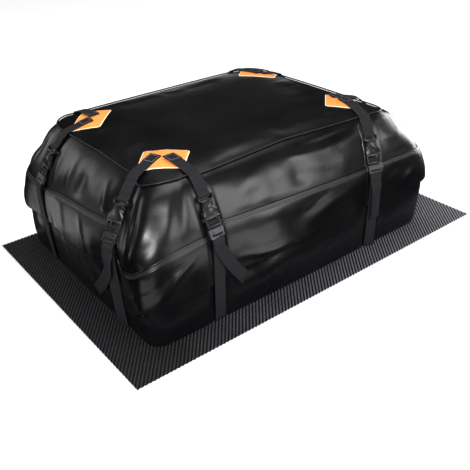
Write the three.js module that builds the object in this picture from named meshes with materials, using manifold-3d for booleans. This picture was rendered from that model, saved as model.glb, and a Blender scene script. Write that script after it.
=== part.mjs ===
// Soft roof cargo bag, closed and stuffed, strapped down over its ribbed anti-slip mat.
// Millimetres, +Z up. The origin is on the mat's underside, below the middle of the bag's base.
// +X runs along the bag's long side, -Y is its front long face.
import * as THREE from 'three';
import { mergeVertices } from 'three/addons/utils/BufferGeometryUtils.js';
import Module from 'manifold-3d';

const wasm = await Module();
wasm.setup();

// Anti-slip mat: a thin sheet whose ribs run across it at an angle
const MAT_LENGTH = 1432;
const MAT_WIDTH = 957;
const MAT_OFFSET_X = 36.6;        // the bag stands a little off the middle of the mat
const MAT_OFFSET_Y = -45.3;
const MAT_SHEET = 2.2;            // sheet below the ribs
const MAT_RIB_HEIGHT = 1.8;
const MAT_RIB_PITCH = 10;
const MAT_RIB_ANGLE = 51.5;       // degrees from +X

// Bag: heights above the floor, and half sizes at the middle of each face
const CLEARANCE = 0.3;            // between faces that rest on each other
const BAG_HEIGHT = 466;
const BASE_HALF_LENGTH = 562;
const BASE_HALF_WIDTH = 427;
const BELLY_LEFT = 13;            // how far each face swells past the base
const BELLY_RIGHT = 30;
const BELLY_LONG = 11;
const BELLY_HEIGHT = 205;         // height of the widest line
const SHOULDER_END_X = 118;       // how far the ends have come in at the shoulder height
const SHOULDER_LONG_Y = 77;
const SHOULDER_HEIGHT = 436;
const CREASE_DEPTH = 13;          // how far the webbing presses into the stuffed sides
const CREASE_HALF_WIDTH = 27;
const CREASE_FLANK = 13;          // width of the steep flank beside each strap

// Corners: exponents of the rounded outline, soft at the shoulder and squarer at the base
const CORNER_BASE = 7;
const CORNER_SHOULDER = 2.1;
const CORNER_STEPS = 6;
const CORNER_SQUARENESS = { front: 1.5, right: 1, back: 0.7, left: 0.9 };

// Storm flap over the zip: heights of its two edges round the bag
const FLAP_THICKNESS = 3;
const FLAP_GAP_TOP = 0.5;
const FLAP_GAP_ZIP = 3;
const FLAP_GAP_BOTTOM = 2.5;
const ZIP_BELOW_FLAP_TOP = 32;
const ZIP_TAPE = 26;
const ZIP_TAPE_THICKNESS = 1;
const ZIP_SEAT_GAP = 1.0;         // under the tape, where the stuffed fabric twists
const ZIP_TEETH_WIDTH = 7;
const ZIP_TEETH_HEIGHT = 2;
const CHANNEL_DEPTH = 6;
const CHANNEL_FLANK = 4;

// Sliders on the zip
const SLIDER_LENGTH = 16;
const SLIDER_PLATE = 1.6;
const SLIDER_RUNNING_GAP = 0.5;
const SLIDER_APART = 36;
const PULL_LENGTH = 30;
const PULL_WIDTH = 6;

// Piping along the top seam
const PIPING_RADIUS = 2.6;

// Corner patches
const PATCH_LENGTH = 138;
const PATCH_WIDTH = 102;
const PATCH_THICKNESS = 2;
const PATCH_LIFT = 1.25;
const PATCH_CENTRE_X = 354;
const PATCH_CENTRE_Y = 217;

// Webbing and its hardware. Lengths down the strap are counted from the top of the buckle
const WEBBING_WIDTH = 38;
const WEBBING_THICKNESS = 2;
const WEBBING_GAP = 0.6;
const BUCKLE_WIDTH = 49;
const BUCKLE_THICKNESS = 12;
const BUCKLE_WALL = 2;
const BUCKLE_LENGTH = 60;
const BUCKLE_WAIST = 30;
const BUCKLE_BAR = 5;
const BUCKLE_SLOT = 6.5;
const BAR_THICKNESS = 3;
const BAR_SIDE_GAP = 0.6;
const PRONG_REACH = 35;
const PRONG_THICKNESS = 6;
const FLANGE_LENGTH = 5.4;
const LADDER_RAIL = 3.8;
const LADDER_SLOT = 8;
const LADDER_BAR = 4;
const KEEPER_LENGTH = 26;
const KEEPER_WIDTH = 46;
const KEEPER_BACK = 1.4;
const KEEPER_FRONT = 3;
const KEEPER_BELOW_PLUG = 5;
const KEEPER_TRAVEL = 15;
const FOLD_BACK = 36;             // webbing sewn back on itself above the buckle
const TAIL_START = 22;            // straight webbing below the keeper before the tail drifts
const SEAM_ABOVE_MAT = 6;         // where the lower straps are sewn into the base seam

// Colours and finishes
const finish = (color, roughness, metalness = 0) =>
  new THREE.MeshStandardMaterial({ color, roughness, metalness });
const coatedFabric = () => finish(0x17171b, 0.38);
const webbing = () => finish(0x2b2b30, 0.85);
const mouldedPlastic = () => finish(0x101013, 0.35);
const patchFabric = () => finish(0xf0a050, 0.6);

const matTop = MAT_SHEET + MAT_RIB_HEIGHT;
const bagFloor = matTop + CLEARANCE;

// Smooth curve through a few (input, value) pairs
function curve(pairs) {
  const xs = pairs.map((p) => p[0]);
  const ys = pairs.map((p) => p[1]);
  const slopes = xs.slice(1).map((x, i) => (ys[i + 1] - ys[i]) / (x - xs[i]));
  const tangents = ys.map((_, i) => {
    if (i === 0) return slopes[0];
    if (i === ys.length - 1) return slopes[i - 1];
    if (slopes[i - 1] * slopes[i] <= 0) return 0;
    return (2 * slopes[i - 1] * slopes[i]) / (slopes[i - 1] + slopes[i]);
  });
  return (x) => {
    if (x <= xs[0]) return ys[0];
    if (x >= xs[xs.length - 1]) return ys[ys.length - 1];
    const i = xs.findIndex((edge) => edge > x) - 1;
    const span = xs[i + 1] - xs[i];
    const t = (x - xs[i]) / span;
    const a = (1 + 2 * t) * (1 - t) ** 2 * ys[i] + t * (1 - t) ** 2 * span * tangents[i];
    return a + t * t * (3 - 2 * t) * ys[i + 1] + t * t * (t - 1) * span * tangents[i + 1];
  };
}

// The four faces, counter-clockwise seen from above. "along" runs counter-clockwise too
const SIDES = [
  { name: 'front', along: [1, 0], out: [0, -1] },
  { name: 'right', along: [0, 1], out: [1, 0] },
  { name: 'back', along: [-1, 0], out: [0, 1] },
  { name: 'left', along: [0, -1], out: [-1, 0] },
];
const place = (side, along, depth) => [
  side.along[0] * along + side.out[0] * depth,
  side.along[1] * along + side.out[1] * depth,
];

// Each strap lies in an upright plane, from its sewn tip on a corner patch to the base seam.
// "drift" is how far the loose tail wanders sideways at each length below the keeper
const STRAPS = [
  { name: 'front_left', side: 0, tipAlong: -339, tipDepth: 217, baseAlong: -333, buckleHeight: 336,
    tailLength: 172, drift: [[0, 0], [60, 26], [172, 92]] },
  { name: 'front_right', side: 0, tipAlong: 368, tipDepth: 212, baseAlong: 302, buckleHeight: 332,
    tailLength: 142, drift: [[0, 0], [142, 6]] },
  { name: 'right_front', side: 1, tipAlong: -165, tipDepth: 356, baseAlong: -240, buckleHeight: 338,
    tailLength: 160, drift: [[0, 0], [160, -12]] },
  { name: 'right_back', side: 1, tipAlong: 205, tipDepth: 356, baseAlong: 222, buckleHeight: 338,
    tailLength: 150, drift: [[0, 0], [150, 8]] },
  { name: 'back_right', side: 2, tipAlong: -358, tipDepth: 205, baseAlong: -318, buckleHeight: 334,
    tailLength: 165, drift: [[0, 0], [165, 10]] },
  { name: 'back_left', side: 2, tipAlong: 340, tipDepth: 217, baseAlong: 334, buckleHeight: 334,
    tailLength: 150, drift: [[0, 0], [150, -14]] },
  { name: 'left_back', side: 3, tipAlong: -205, tipDepth: 356, baseAlong: -218, buckleHeight: 338,
    tailLength: 120, drift: [[0, 0], [120, 4]] },
  { name: 'left_front', side: 3, tipAlong: 188, tipDepth: 356, baseAlong: 262, buckleHeight: 336,
    tailLength: 250, drift: [[0, 0], [50, -2], [110, -36], [250, -150]] },
];

// Middle depth of a face at height z
const BELLIES = [BELLY_LONG, BELLY_RIGHT, BELLY_LONG, BELLY_LEFT];
const faceDepth = SIDES.map((side, i) => {
  const base = i % 2 === 0 ? BASE_HALF_WIDTH : BASE_HALF_LENGTH;
  const shoulder = i % 2 === 0 ? SHOULDER_LONG_Y : SHOULDER_END_X;
  const belly = BELLIES[i];
  const lift = SHOULDER_HEIGHT - BELLY_HEIGHT;
  return curve([
    [bagFloor, base],
    [bagFloor + 14, base + belly * 0.3],
    [BELLY_HEIGHT * 0.5, base + belly * 0.78],
    [BELLY_HEIGHT, base + belly],
    [BELLY_HEIGHT + lift * 0.27, base + belly * 0.75 - shoulder * 0.02],
    [BELLY_HEIGHT + lift * 0.5, base + belly * 0.25 - shoulder * 0.13],
    [BELLY_HEIGHT + lift * 0.76, base - shoulder * 0.45],
    [SHOULDER_HEIGHT, base - shoulder],
    [BAG_HEIGHT, base - shoulder * 2.1],
  ]);
});

// The webbing presses deepest into the belly and not at all at the base or on top
const pressing = curve([
  [bagFloor, 0.35],
  [BELLY_HEIGHT * 0.3, 0.8],
  [BELLY_HEIGHT, 1],
  [SHOULDER_HEIGHT * 0.78, 0.9],
  [SHOULDER_HEIGHT * 0.963, 0.35],
  [BAG_HEIGHT, 0.1],
]);
const cornerExponent = curve([
  [bagFloor, CORNER_BASE],
  [BELLY_HEIGHT, CORNER_BASE * 0.7],
  [SHOULDER_HEIGHT * 0.734, 3.6],
  [SHOULDER_HEIGHT * 0.883, 2.5],
  [SHOULDER_HEIGHT, CORNER_SHOULDER],
]);

// How full the skin is between two straps: share of the way across, fullness, and shift in mm
const FLANK_FULLNESS = 0.42;
const PANEL_STATIONS = [[0, FLANK_FULLNESS, CREASE_FLANK], [0.2, 0.82, 0], [0.4, 0.97, 0], [0.6, 0.97, 0],
  [0.8, 0.82, 0], [1, FLANK_FULLNESS, -CREASE_FLANK]];
const LONG_PANEL_MIDDLE = [0.5, 1, 0];

// One row of stations round the bag. Each station says where it lies between the straps
function stationsRound() {
  const stations = [];
  SIDES.forEach((side, i) => {
    const pair = STRAPS.filter((strap) => strap.side === i).sort((a, b) => a.baseAlong - b.baseAlong);
    stations.push({ kind: 'strap', side: i, strap: pair[0], edge: -1 });
    stations.push({ kind: 'strap', side: i, strap: pair[0], edge: 1 });
    const inner = PANEL_STATIONS.slice();
    if (i % 2 === 0) inner.splice(3, 0, LONG_PANEL_MIDDLE);
    inner.forEach(([share, full, shift]) => {
      stations.push({ kind: 'panel', side: i, pair, share, full, shift });
    });
    stations.push({ kind: 'strap', side: i, strap: pair[1], edge: -1 });
    stations.push({ kind: 'strap', side: i, strap: pair[1], edge: 1 });
    const next = STRAPS.filter((strap) => strap.side === (i + 1) % 4).sort((a, b) => a.baseAlong - b.baseAlong);
    stations.push({ kind: 'flank', side: i, strap: pair[1], edge: 1 });
    for (let k = 1; k < CORNER_STEPS; k += 1) {
      stations.push({ kind: 'corner', side: i, from: pair[1], to: next[0], turn: (k / CORNER_STEPS) * 90 });
    }
    stations.push({ kind: 'flank', side: (i + 1) % 4, strap: next[0], edge: -1 });
  });
  return stations;
}
const STATIONS = stationsRound();

const strapAlong = (strap, depth, baseDepth) => {
  const share = (depth - strap.tipDepth) / (baseDepth - strap.tipDepth);
  return strap.tipAlong + (strap.baseAlong - strap.tipAlong) * share;
};
const strapDepth = (side, z) => faceDepth[side](z) - CREASE_DEPTH * pressing(z);
const strapAt = (strap, z) => {
  const depth = strapDepth(strap.side, z);
  return { along: strapAlong(strap, depth, faceDepth[strap.side](bagFloor)), depth };
};

// Plan position of a station at height z
function stationXY(station, z) {
  const side = SIDES[station.side];
  const press = CREASE_DEPTH * pressing(z);
  if (station.kind === 'strap') {
    const { along, depth } = strapAt(station.strap, z);
    return place(side, along + station.edge * CREASE_HALF_WIDTH, depth);
  }
  if (station.kind === 'flank') {
    const { along, depth } = strapAt(station.strap, z);
    const reach = CREASE_HALF_WIDTH + CREASE_FLANK;
    return place(side, along + station.edge * reach, depth + press * FLANK_FULLNESS);
  }
  if (station.kind === 'panel') {
    const from = strapAt(station.pair[0], z);
    const to = strapAt(station.pair[1], z);
    const start = from.along + CREASE_HALF_WIDTH;
    const span = to.along - CREASE_HALF_WIDTH - start;
    return place(side, start + span * station.share + station.shift, from.depth + press * station.full);
  }
  const next = SIDES[(station.side + 1) % 4];
  const a = strapAt(station.from, z);
  const b = strapAt(station.to, z);
  const reach = CREASE_HALF_WIDTH + CREASE_FLANK;
  const p0 = place(side, a.along + reach, a.depth + press * FLANK_FULLNESS);
  const p1 = place(next, b.along - reach, b.depth + press * FLANK_FULLNESS);
  const dot = (p, q) => p[0] * q[0] + p[1] * q[1];
  const across = dot(p1, side.along) - dot(p0, side.along);
  const down = dot(p0, side.out) - dot(p1, side.out);
  const power = 2 / Math.max(2, cornerExponent(z) * CORNER_SQUARENESS[side.name]);
  const turn = THREE.MathUtils.degToRad(station.turn);
  const swell = press * 0.5 * Math.sin(turn * 2);
  const u = across * Math.sin(turn) ** power + swell * Math.sin(turn);
  const v = down * Math.cos(turn) ** power + swell * Math.cos(turn);
  const centre = [dot(p0, side.along), dot(p1, side.out)];
  return [0, 1].map((k) => side.along[k] * (centre[0] + u) + side.out[k] * (centre[1] + v));
}

// Heights that follow the flap round the bag: one value at each strap, panel middle and corner.
// The order is counter-clockwise from the front left strap
const FLAP_TOP = { front: [323, 315, 305], frontRight: 294, right: [296, 300, 302], backRight: 302,
  back: [304, 308, 306], backLeft: 306, left: [312, 320, 334], frontLeft: 272 };
const FLAP_BOTTOM = { front: [150, 170, 172], frontRight: 180, right: [176, 170, 168], backRight: 166,
  back: [168, 170, 168], backLeft: 164, left: [164, 166, 150], frontLeft: 112 };
const SEAM_TOP = { front: [441, 448, 440], frontRight: 420, right: [434, 437, 434], backRight: 420,
  back: [441, 447, 441], backLeft: 420, left: [434, 437, 434], frontLeft: 418 };
const CORNER_NAMES = ['frontRight', 'backRight', 'backLeft', 'frontLeft'];

function heightAt(table, station) {
  const side = SIDES[station.side];
  const [first, middle, last] = table[side.name];
  if (station.kind === 'strap' || station.kind === 'flank') {
    const isFirst = station.strap.baseAlong < 0;
    return isFirst ? first : last;
  }
  if (station.kind === 'panel') {
    return station.share < 0.5
      ? THREE.MathUtils.lerp(first, middle, station.share * 2)
      : THREE.MathUtils.lerp(middle, last, station.share * 2 - 1);
  }
  const next = table[SIDES[(station.side + 1) % 4].name][0];
  const corner = table[CORNER_NAMES[station.side]];
  const t = station.turn / 90;
  return t < 0.5 ? THREE.MathUtils.lerp(last, corner, t * 2) : THREE.MathUtils.lerp(corner, next, t * 2 - 1);
}

// Closed skin from rows of points that run round the object. With two cap points the first and last
// rows are capped, and without them the last row joins the first. "leanBack" turns the diagonals,
// so that a band's inner side is split the same way as the skin it lies on
function closedRows(rows, { capStart, capEnd, leanBack = false } = {}) {
  const count = rows[0].length;
  const positions = rows.flat(2);
  const indices = [];
  for (let r = 0; r < rows.length - 1; r += 1) {
    for (let c = 0; c < count; c += 1) {
      const d = (c + 1) % count;
      const a = r * count;
      const b = (r + 1) * count;
      if (leanBack) indices.push(a + c, a + d, b + c, a + d, b + d, b + c);
      else indices.push(a + c, a + d, b + d, a + c, b + d, b + c);
    }
  }
  if (capStart) {
    const start = positions.length / 3;
    positions.push(...capStart);
    for (let c = 0; c < count; c += 1) indices.push(start, (c + 1) % count, c);
  }
  if (capEnd) {
    const end = positions.length / 3;
    positions.push(...capEnd);
    const last = (rows.length - 1) * count;
    for (let c = 0; c < count; c += 1) indices.push(end, last + c, last + ((c + 1) % count));
  }
  if (!capStart && !capEnd) {
    const last = (rows.length - 1) * count;
    for (let c = 0; c < count; c += 1) {
      const d = (c + 1) % count;
      indices.push(last + c, last + d, d, last + c, d, c);
    }
  }
  return indexed(positions, indices);
}

function indexed(positions, indices) {
  const geometry = new THREE.BufferGeometry();
  geometry.setAttribute('position', new THREE.Float32BufferAttribute(positions, 3));
  geometry.setIndex(indices);
  geometry.computeVertexNormals();
  return geometry;
}

// Solid helpers for cutting and joining
function toSolid(geometry) {
  const bare = geometry.clone();
  ['normal', 'uv'].forEach((name) => bare.deleteAttribute(name));
  const merged = mergeVertices(bare, 1e-4);
  return new wasm.Manifold(new wasm.Mesh({
    numProp: 3,
    vertProperties: new Float32Array(merged.attributes.position.array),
    triVerts: new Uint32Array(merged.index.array),
  }));
}
function fromSolid(solid) {
  const mesh = solid.getMesh();
  return indexed(Array.from(mesh.vertProperties), Array.from(mesh.triVerts));
}
function block(x0, x1, y0, y1, z0, z1) {
  const box = new THREE.BoxGeometry(x1 - x0, y1 - y0, z1 - z0);
  box.translate((x0 + x1) / 2, (y0 + y1) / 2, (z0 + z1) / 2);
  return toSolid(box);
}
function plate(points, z0, z1) {
  const shape = new THREE.Shape(points.map(([x, y]) => new THREE.Vector2(x, y)));
  const geometry = new THREE.ExtrudeGeometry(shape, { depth: z1 - z0, bevelEnabled: false });
  geometry.translate(0, 0, z0);
  return toSolid(geometry);
}

const bag = new THREE.Group();
function add(name, geometry, material) {
  const mesh = new THREE.Mesh(geometry, material);
  mesh.name = name;
  bag.add(mesh);
  return mesh;
}

// Ribbed mat
function makeMat() {
  const reach = Math.hypot(MAT_LENGTH, MAT_WIDTH) / 2 + MAT_RIB_PITCH;
  const ribs = Math.ceil((2 * reach) / MAT_RIB_PITCH);
  const profile = [[-reach, 0]];
  for (let i = ribs; i >= 0; i -= 1) {
    profile.push([-reach + i * MAT_RIB_PITCH, MAT_SHEET]);
    if (i > 0) profile.push([-reach + (i - 0.5) * MAT_RIB_PITCH, matTop]);
  }
  profile.splice(1, 0, [-reach + ribs * MAT_RIB_PITCH, 0]);
  const shape = new THREE.Shape(profile.map(([x, y]) => new THREE.Vector2(x, y)));
  const geometry = new THREE.ExtrudeGeometry(shape, { depth: 2 * reach, bevelEnabled: false });
  geometry.translate(0, 0, -reach);
  geometry.rotateX(Math.PI / 2);
  geometry.rotateZ(THREE.MathUtils.degToRad(MAT_RIB_ANGLE - 90));
  const ribbed = toSolid(geometry);
  const sheet = block(-MAT_LENGTH / 2, MAT_LENGTH / 2, -MAT_WIDTH / 2, MAT_WIDTH / 2, -1, matTop + 1);
  const cut = fromSolid(ribbed.intersect(sheet));
  cut.translate(MAT_OFFSET_X, MAT_OFFSET_Y, 0);
  add('roof_mat', cut, finish(0x1b1b20, 0.9));
}
makeMat();

// Bag body. Rows of the skin from the floor to the top seam
const zipMiddle = (station) => heightAt(FLAP_TOP, station) - ZIP_BELOW_FLAP_TOP;
const channelHalf = ZIP_TAPE / 2;
const ROWS = [
  { height: () => bagFloor },
  { height: () => bagFloor + 12 },
  { height: (s) => THREE.MathUtils.lerp(bagFloor + 12, heightAt(FLAP_BOTTOM, s), 0.5) },
  { height: (s) => heightAt(FLAP_BOTTOM, s), flap: FLAP_GAP_BOTTOM },
  { height: (s) => THREE.MathUtils.lerp(heightAt(FLAP_BOTTOM, s), zipMiddle(s) - channelHalf, 0.5),
    flap: FLAP_GAP_BOTTOM },
  { height: (s) => zipMiddle(s) - channelHalf - CHANNEL_FLANK, flap: FLAP_GAP_ZIP },
  { height: (s) => zipMiddle(s) - channelHalf, recess: CHANNEL_DEPTH },
  { height: (s) => zipMiddle(s) + channelHalf, recess: CHANNEL_DEPTH },
  { height: (s) => zipMiddle(s) + channelHalf + CHANNEL_FLANK, flap: FLAP_GAP_ZIP },
  { height: (s) => heightAt(FLAP_TOP, s), flap: FLAP_GAP_TOP },
  { height: (s) => THREE.MathUtils.lerp(heightAt(FLAP_TOP, s), heightAt(SEAM_TOP, s), 0.36) },
  { height: (s) => THREE.MathUtils.lerp(heightAt(FLAP_TOP, s), heightAt(SEAM_TOP, s), 0.7) },
  { height: (s) => heightAt(SEAM_TOP, s) },
];

// Outward horizontal normal of the outline at each station
function outlineNormals(points) {
  return points.map((_, i) => {
    const before = points[(i + points.length - 1) % points.length];
    const after = points[(i + 1) % points.length];
    const dx = after[0] - before[0];
    const dy = after[1] - before[1];
    const length = Math.hypot(dx, dy);
    return [dy / length, -dx / length];
  });
}
function outlineRow(row, offset) {
  const heights = STATIONS.map((station) => row.height(station));
  const points = STATIONS.map((station, i) => stationXY(station, heights[i]));
  const normals = outlineNormals(points);
  return points.map(([x, y], i) => [x + normals[i][0] * offset, y + normals[i][1] * offset, heights[i]]);
}
const seamRow = outlineRow(ROWS[ROWS.length - 1], 0);
const CROWN = [0.965, 0.925, 0.87, 0.79, 0.66, 0.45, 0.22];
const crownRow = (scale) => seamRow.map(([x, y, z]) => {
  const drop = BAG_HEIGHT - z;
  const roundness = 2 + drop * 0.11;
  return [x * scale, y * scale, BAG_HEIGHT - drop * scale ** roundness];
});
const bodyRows = ROWS.map((row) => outlineRow(row, -(row.recess || 0))).concat(CROWN.map(crownRow));
const bodyGeometry = closedRows(bodyRows, { capStart: [0, 0, bagFloor], capEnd: [0, 0, BAG_HEIGHT] });
add('bag_body', bodyGeometry, coatedFabric());

// Storm flap: a band that hides the zip, sewn on along its top edge
const flapRows = ROWS.filter((row) => row.flap !== undefined);
const flapOuter = flapRows.map((row) => outlineRow(row, row.flap + FLAP_THICKNESS));
const flapInner = flapRows.map((row) => outlineRow(row, row.flap)).reverse();
const flapGeometry = closedRows(flapOuter.concat(flapInner));
add('storm_flap', flapGeometry, coatedFabric());

// Zip: tape and teeth as one band on the floor of the channel
const floorLow = bodyRows[6];
const floorHigh = bodyRows[7];
function onFloor(column, share, lift) {
  const a = new THREE.Vector3(...floorLow[column]);
  const b = new THREE.Vector3(...floorHigh[column]);
  const before = new THREE.Vector3(...floorLow[(column + STATIONS.length - 1) % STATIONS.length]);
  const after = new THREE.Vector3(...floorLow[(column + 1) % STATIONS.length]);
  const along = after.sub(before);
  const normal = along.cross(b.clone().sub(a)).normalize();
  return a.lerp(b, share).addScaledVector(normal, lift).toArray();
}
const teethShare = ZIP_TEETH_WIDTH / ZIP_TAPE / 2;
const tapeTop = ZIP_SEAT_GAP + ZIP_TAPE_THICKNESS;
const teethTop = tapeTop + ZIP_TEETH_HEIGHT;
const teethFoot = teethShare + 0.03;
const zipSection = [[0.5 - teethFoot, tapeTop], [0.5 - teethShare, teethTop], [0.5 + teethShare, teethTop],
  [0.5 + teethFoot, tapeTop], [0.95, tapeTop], [0.95, ZIP_SEAT_GAP], [0.05, ZIP_SEAT_GAP], [0.05, tapeTop]];
const zipRows = zipSection.map(([share, lift]) => STATIONS.map((_, c) => onFloor(c, share, lift)));
add('zip_chain', closedRows(zipRows, { leanBack: true }), finish(0x0c0c0e, 0.5));

// Zip sliders, closed against each other in the middle of the front panel
function makeSlider(name, direction) {
  const middle = STATIONS.findIndex((s) => s.kind === 'panel' && s.side === 0 && s.share === 0.5);
  const next = middle + direction;
  const from = new THREE.Vector3(...onFloor(middle, 0.5, 0));
  const to = new THREE.Vector3(...onFloor(next, 0.5, 0));
  const along = to.clone().sub(from).normalize();
  const up = new THREE.Vector3(...onFloor(next, 1, 0)).sub(new THREE.Vector3(...onFloor(next, 0, 0))).normalize();
  const outward = up.clone().cross(along).multiplyScalar(-direction).normalize();
  const lift = outward.y < 0 ? outward : outward.negate();
  const half = ZIP_TEETH_WIDTH / 2 + SLIDER_RUNNING_GAP + 2.6;
  const roof = teethTop + SLIDER_RUNNING_GAP;
  const foot = tapeTop + SLIDER_RUNNING_GAP;
  let solid = block(-half, half, -SLIDER_LENGTH / 2, SLIDER_LENGTH / 2, foot, roof + SLIDER_PLATE);
  const tunnelFoot = half - 1.2;
  const tunnelRoof = ZIP_TEETH_WIDTH / 2 + SLIDER_RUNNING_GAP;
  const tunnel = new THREE.Shape([new THREE.Vector2(-tunnelFoot, foot - 1), new THREE.Vector2(tunnelFoot, foot - 1),
    new THREE.Vector2(tunnelRoof, roof), new THREE.Vector2(-tunnelRoof, roof)]);
  const bore = new THREE.ExtrudeGeometry(tunnel, { depth: SLIDER_LENGTH + 2, bevelEnabled: false });
  bore.translate(0, 0, -SLIDER_LENGTH / 2 - 1);
  bore.rotateX(Math.PI / 2);
  solid = solid.subtract(toSolid(bore));
  const pullTop = roof + SLIDER_PLATE + 1.2;
  const pull = block(-PULL_WIDTH / 2, PULL_WIDTH / 2, -SLIDER_LENGTH / 2, PULL_LENGTH - SLIDER_LENGTH / 2,
    roof + SLIDER_PLATE - 0.2, pullTop);
  solid = solid.add(pull);
  const mesh = add(name, fromSolid(solid), finish(0x3a3a3e, 0.3, 0.9));
  const across = along.clone().cross(lift);
  mesh.position.copy(from).addScaledVector(along, SLIDER_APART / 2);
  mesh.quaternion.setFromRotationMatrix(new THREE.Matrix4().makeBasis(across, along, lift));
}
makeSlider('zip_slider_left', -1);
makeSlider('zip_slider_right', 1);

// Piping: a thin cord along the top seam
const PIPING_SIDES = 5;
const pipingRows = [];
for (let k = 0; k < PIPING_SIDES; k += 1) {
  const turn = (k / PIPING_SIDES) * 2 * Math.PI;
  const reach = PIPING_RADIUS / Math.cos(Math.PI / PIPING_SIDES) + CLEARANCE + 0.4;
  const normals = outlineNormals(seamRow);
  pipingRows.push(seamRow.map(([x, y, z], i) => {
    const out = reach * 0.72 + PIPING_RADIUS * Math.cos(turn);
    return [x + normals[i][0] * out, y + normals[i][1] * out, z + reach * 0.72 + PIPING_RADIUS * Math.sin(turn)];
  }));
}
const pipingGeometry = closedRows(pipingRows);
add('top_piping', pipingGeometry, finish(0x1e1e22, 0.4));

// Triangles of a geometry as arrays of three points
function trianglesOf(geometry) {
  const p = geometry.attributes.position.array;
  const index = geometry.index.array;
  const point = (i) => [p[3 * i], p[3 * i + 1], p[3 * i + 2]];
  const list = [];
  for (let i = 0; i < index.length; i += 3) {
    list.push([point(index[i]), point(index[i + 1]), point(index[i + 2])]);
  }
  return list;
}
const bodyTriangles = trianglesOf(bodyGeometry);
const flapTriangles = trianglesOf(flapGeometry);
const pipingTriangles = trianglesOf(pipingGeometry);

// Furthest reach of the triangles along one axis, where the other two coordinates are given
function reachAlong(triangles, axis, sign, u, v) {
  const [i, j] = [0, 1, 2].filter((k) => k !== axis);
  let best = -Infinity;
  for (const [a, b, c] of triangles) {
    const det = (b[i] - a[i]) * (c[j] - a[j]) - (c[i] - a[i]) * (b[j] - a[j]);
    if (Math.abs(det) < 1e-9) continue;
    const s = ((u - a[i]) * (c[j] - a[j]) - (c[i] - a[i]) * (v - a[j])) / det;
    const t = ((b[i] - a[i]) * (v - a[j]) - (u - a[i]) * (b[j] - a[j])) / det;
    if (s < 0 || t < 0 || s + t > 1) continue;
    best = Math.max(best, sign * (a[axis] + s * (b[axis] - a[axis]) + t * (c[axis] - a[axis])));
  }
  return best;
}

// Corner patches, turned towards their corners and draped over the top
function makePatch(name, signX, signY) {
  const cells = [7, 5];
  const outX = signX * Math.SQRT1_2;
  const outY = signY * Math.SQRT1_2;
  const grid = [];
  for (let r = 0; r <= cells[1]; r += 1) {
    for (let c = 0; c <= cells[0]; c += 1) {
      const u = (c / cells[0] - 0.5) * PATCH_LENGTH;
      const v = (r / cells[1] - 0.5) * PATCH_WIDTH;
      const x = signX * PATCH_CENTRE_X + outX * v - outY * u;
      const y = signY * PATCH_CENTRE_Y + outY * v + outX * u;
      grid.push([x, y, reachAlong(bodyTriangles, 2, 1, x, y) + PATCH_LIFT]);
    }
  }
  const columns = cells[0] + 1;
  const upper = grid.length;
  const positions = grid.flat().concat(grid.map(([x, y, z]) => [x, y, z + PATCH_THICKNESS]).flat());
  const indices = [];
  for (let r = 0; r < cells[1]; r += 1) {
    for (let c = 0; c < cells[0]; c += 1) {
      const a = r * columns + c;
      const [b, d, e] = [a + 1, a + columns + 1, a + columns];
      indices.push(a, b, d, a, d, e);
      indices.push(upper + a, upper + d, upper + b, upper + a, upper + e, upper + d);
    }
  }
  const rim = [];
  for (let c = 0; c < cells[0]; c += 1) rim.push(c);
  for (let r = 0; r < cells[1]; r += 1) rim.push(r * columns + cells[0]);
  for (let c = cells[0]; c > 0; c -= 1) rim.push(cells[1] * columns + c);
  for (let r = cells[1]; r > 0; r -= 1) rim.push(r * columns);
  rim.forEach((a, i) => {
    const b = rim[(i + 1) % rim.length];
    indices.push(a, upper + b, b, a, upper + a, upper + b);
  });
  const geometry = indexed(positions, indices);
  add(name, geometry, patchFabric());
  return trianglesOf(geometry);
}
const patchTriangles = [
  ...makePatch('patch_front_left', -1, -1),
  ...makePatch('patch_front_right', 1, -1),
  ...makePatch('patch_back_right', 1, 1),
  ...makePatch('patch_back_left', -1, 1),
];

// Convex outline over a set of (reach, height) points, from the base outwards and up
function tautLine(points) {
  const sorted = points.slice().sort((a, b) => a[0] - b[0] || a[1] - b[1]);
  const cross = (o, a, b) => (a[0] - o[0]) * (b[1] - o[1]) - (a[1] - o[1]) * (b[0] - o[0]);
  const half = (list) => {
    const chain = [];
    for (const p of list) {
      while (chain.length > 1 && cross(chain[chain.length - 2], chain[chain.length - 1], p) <= 0) chain.pop();
      chain.push(p);
    }
    return chain;
  };
  const lower = half(sorted);
  const upper = half(sorted.reverse());
  const rank = (p) => p[1] - p[0] * 0.001;
  const foot = lower.reduce((best, p, i) => (rank(p) < rank(lower[best]) ? i : best), 0);
  return lower.slice(foot).concat(upper.slice(1));
}

// Drop points that lie within a hair of the line through their neighbours
function thinned(line, tolerance) {
  if (line.length < 3) return line;
  const [a, b] = [line[0], line[line.length - 1]];
  const length = Math.hypot(b[0] - a[0], b[1] - a[1]);
  let worst = 0;
  let at = 0;
  line.forEach((p, i) => {
    const off = Math.abs((b[0] - a[0]) * (p[1] - a[1]) - (b[1] - a[1]) * (p[0] - a[0])) / length;
    if (off > worst) [worst, at] = [off, i];
  });
  if (worst < tolerance) return [a, b];
  return thinned(line.slice(0, at + 1), tolerance).slice(0, -1).concat(thinned(line.slice(at), tolerance));
}

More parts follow.
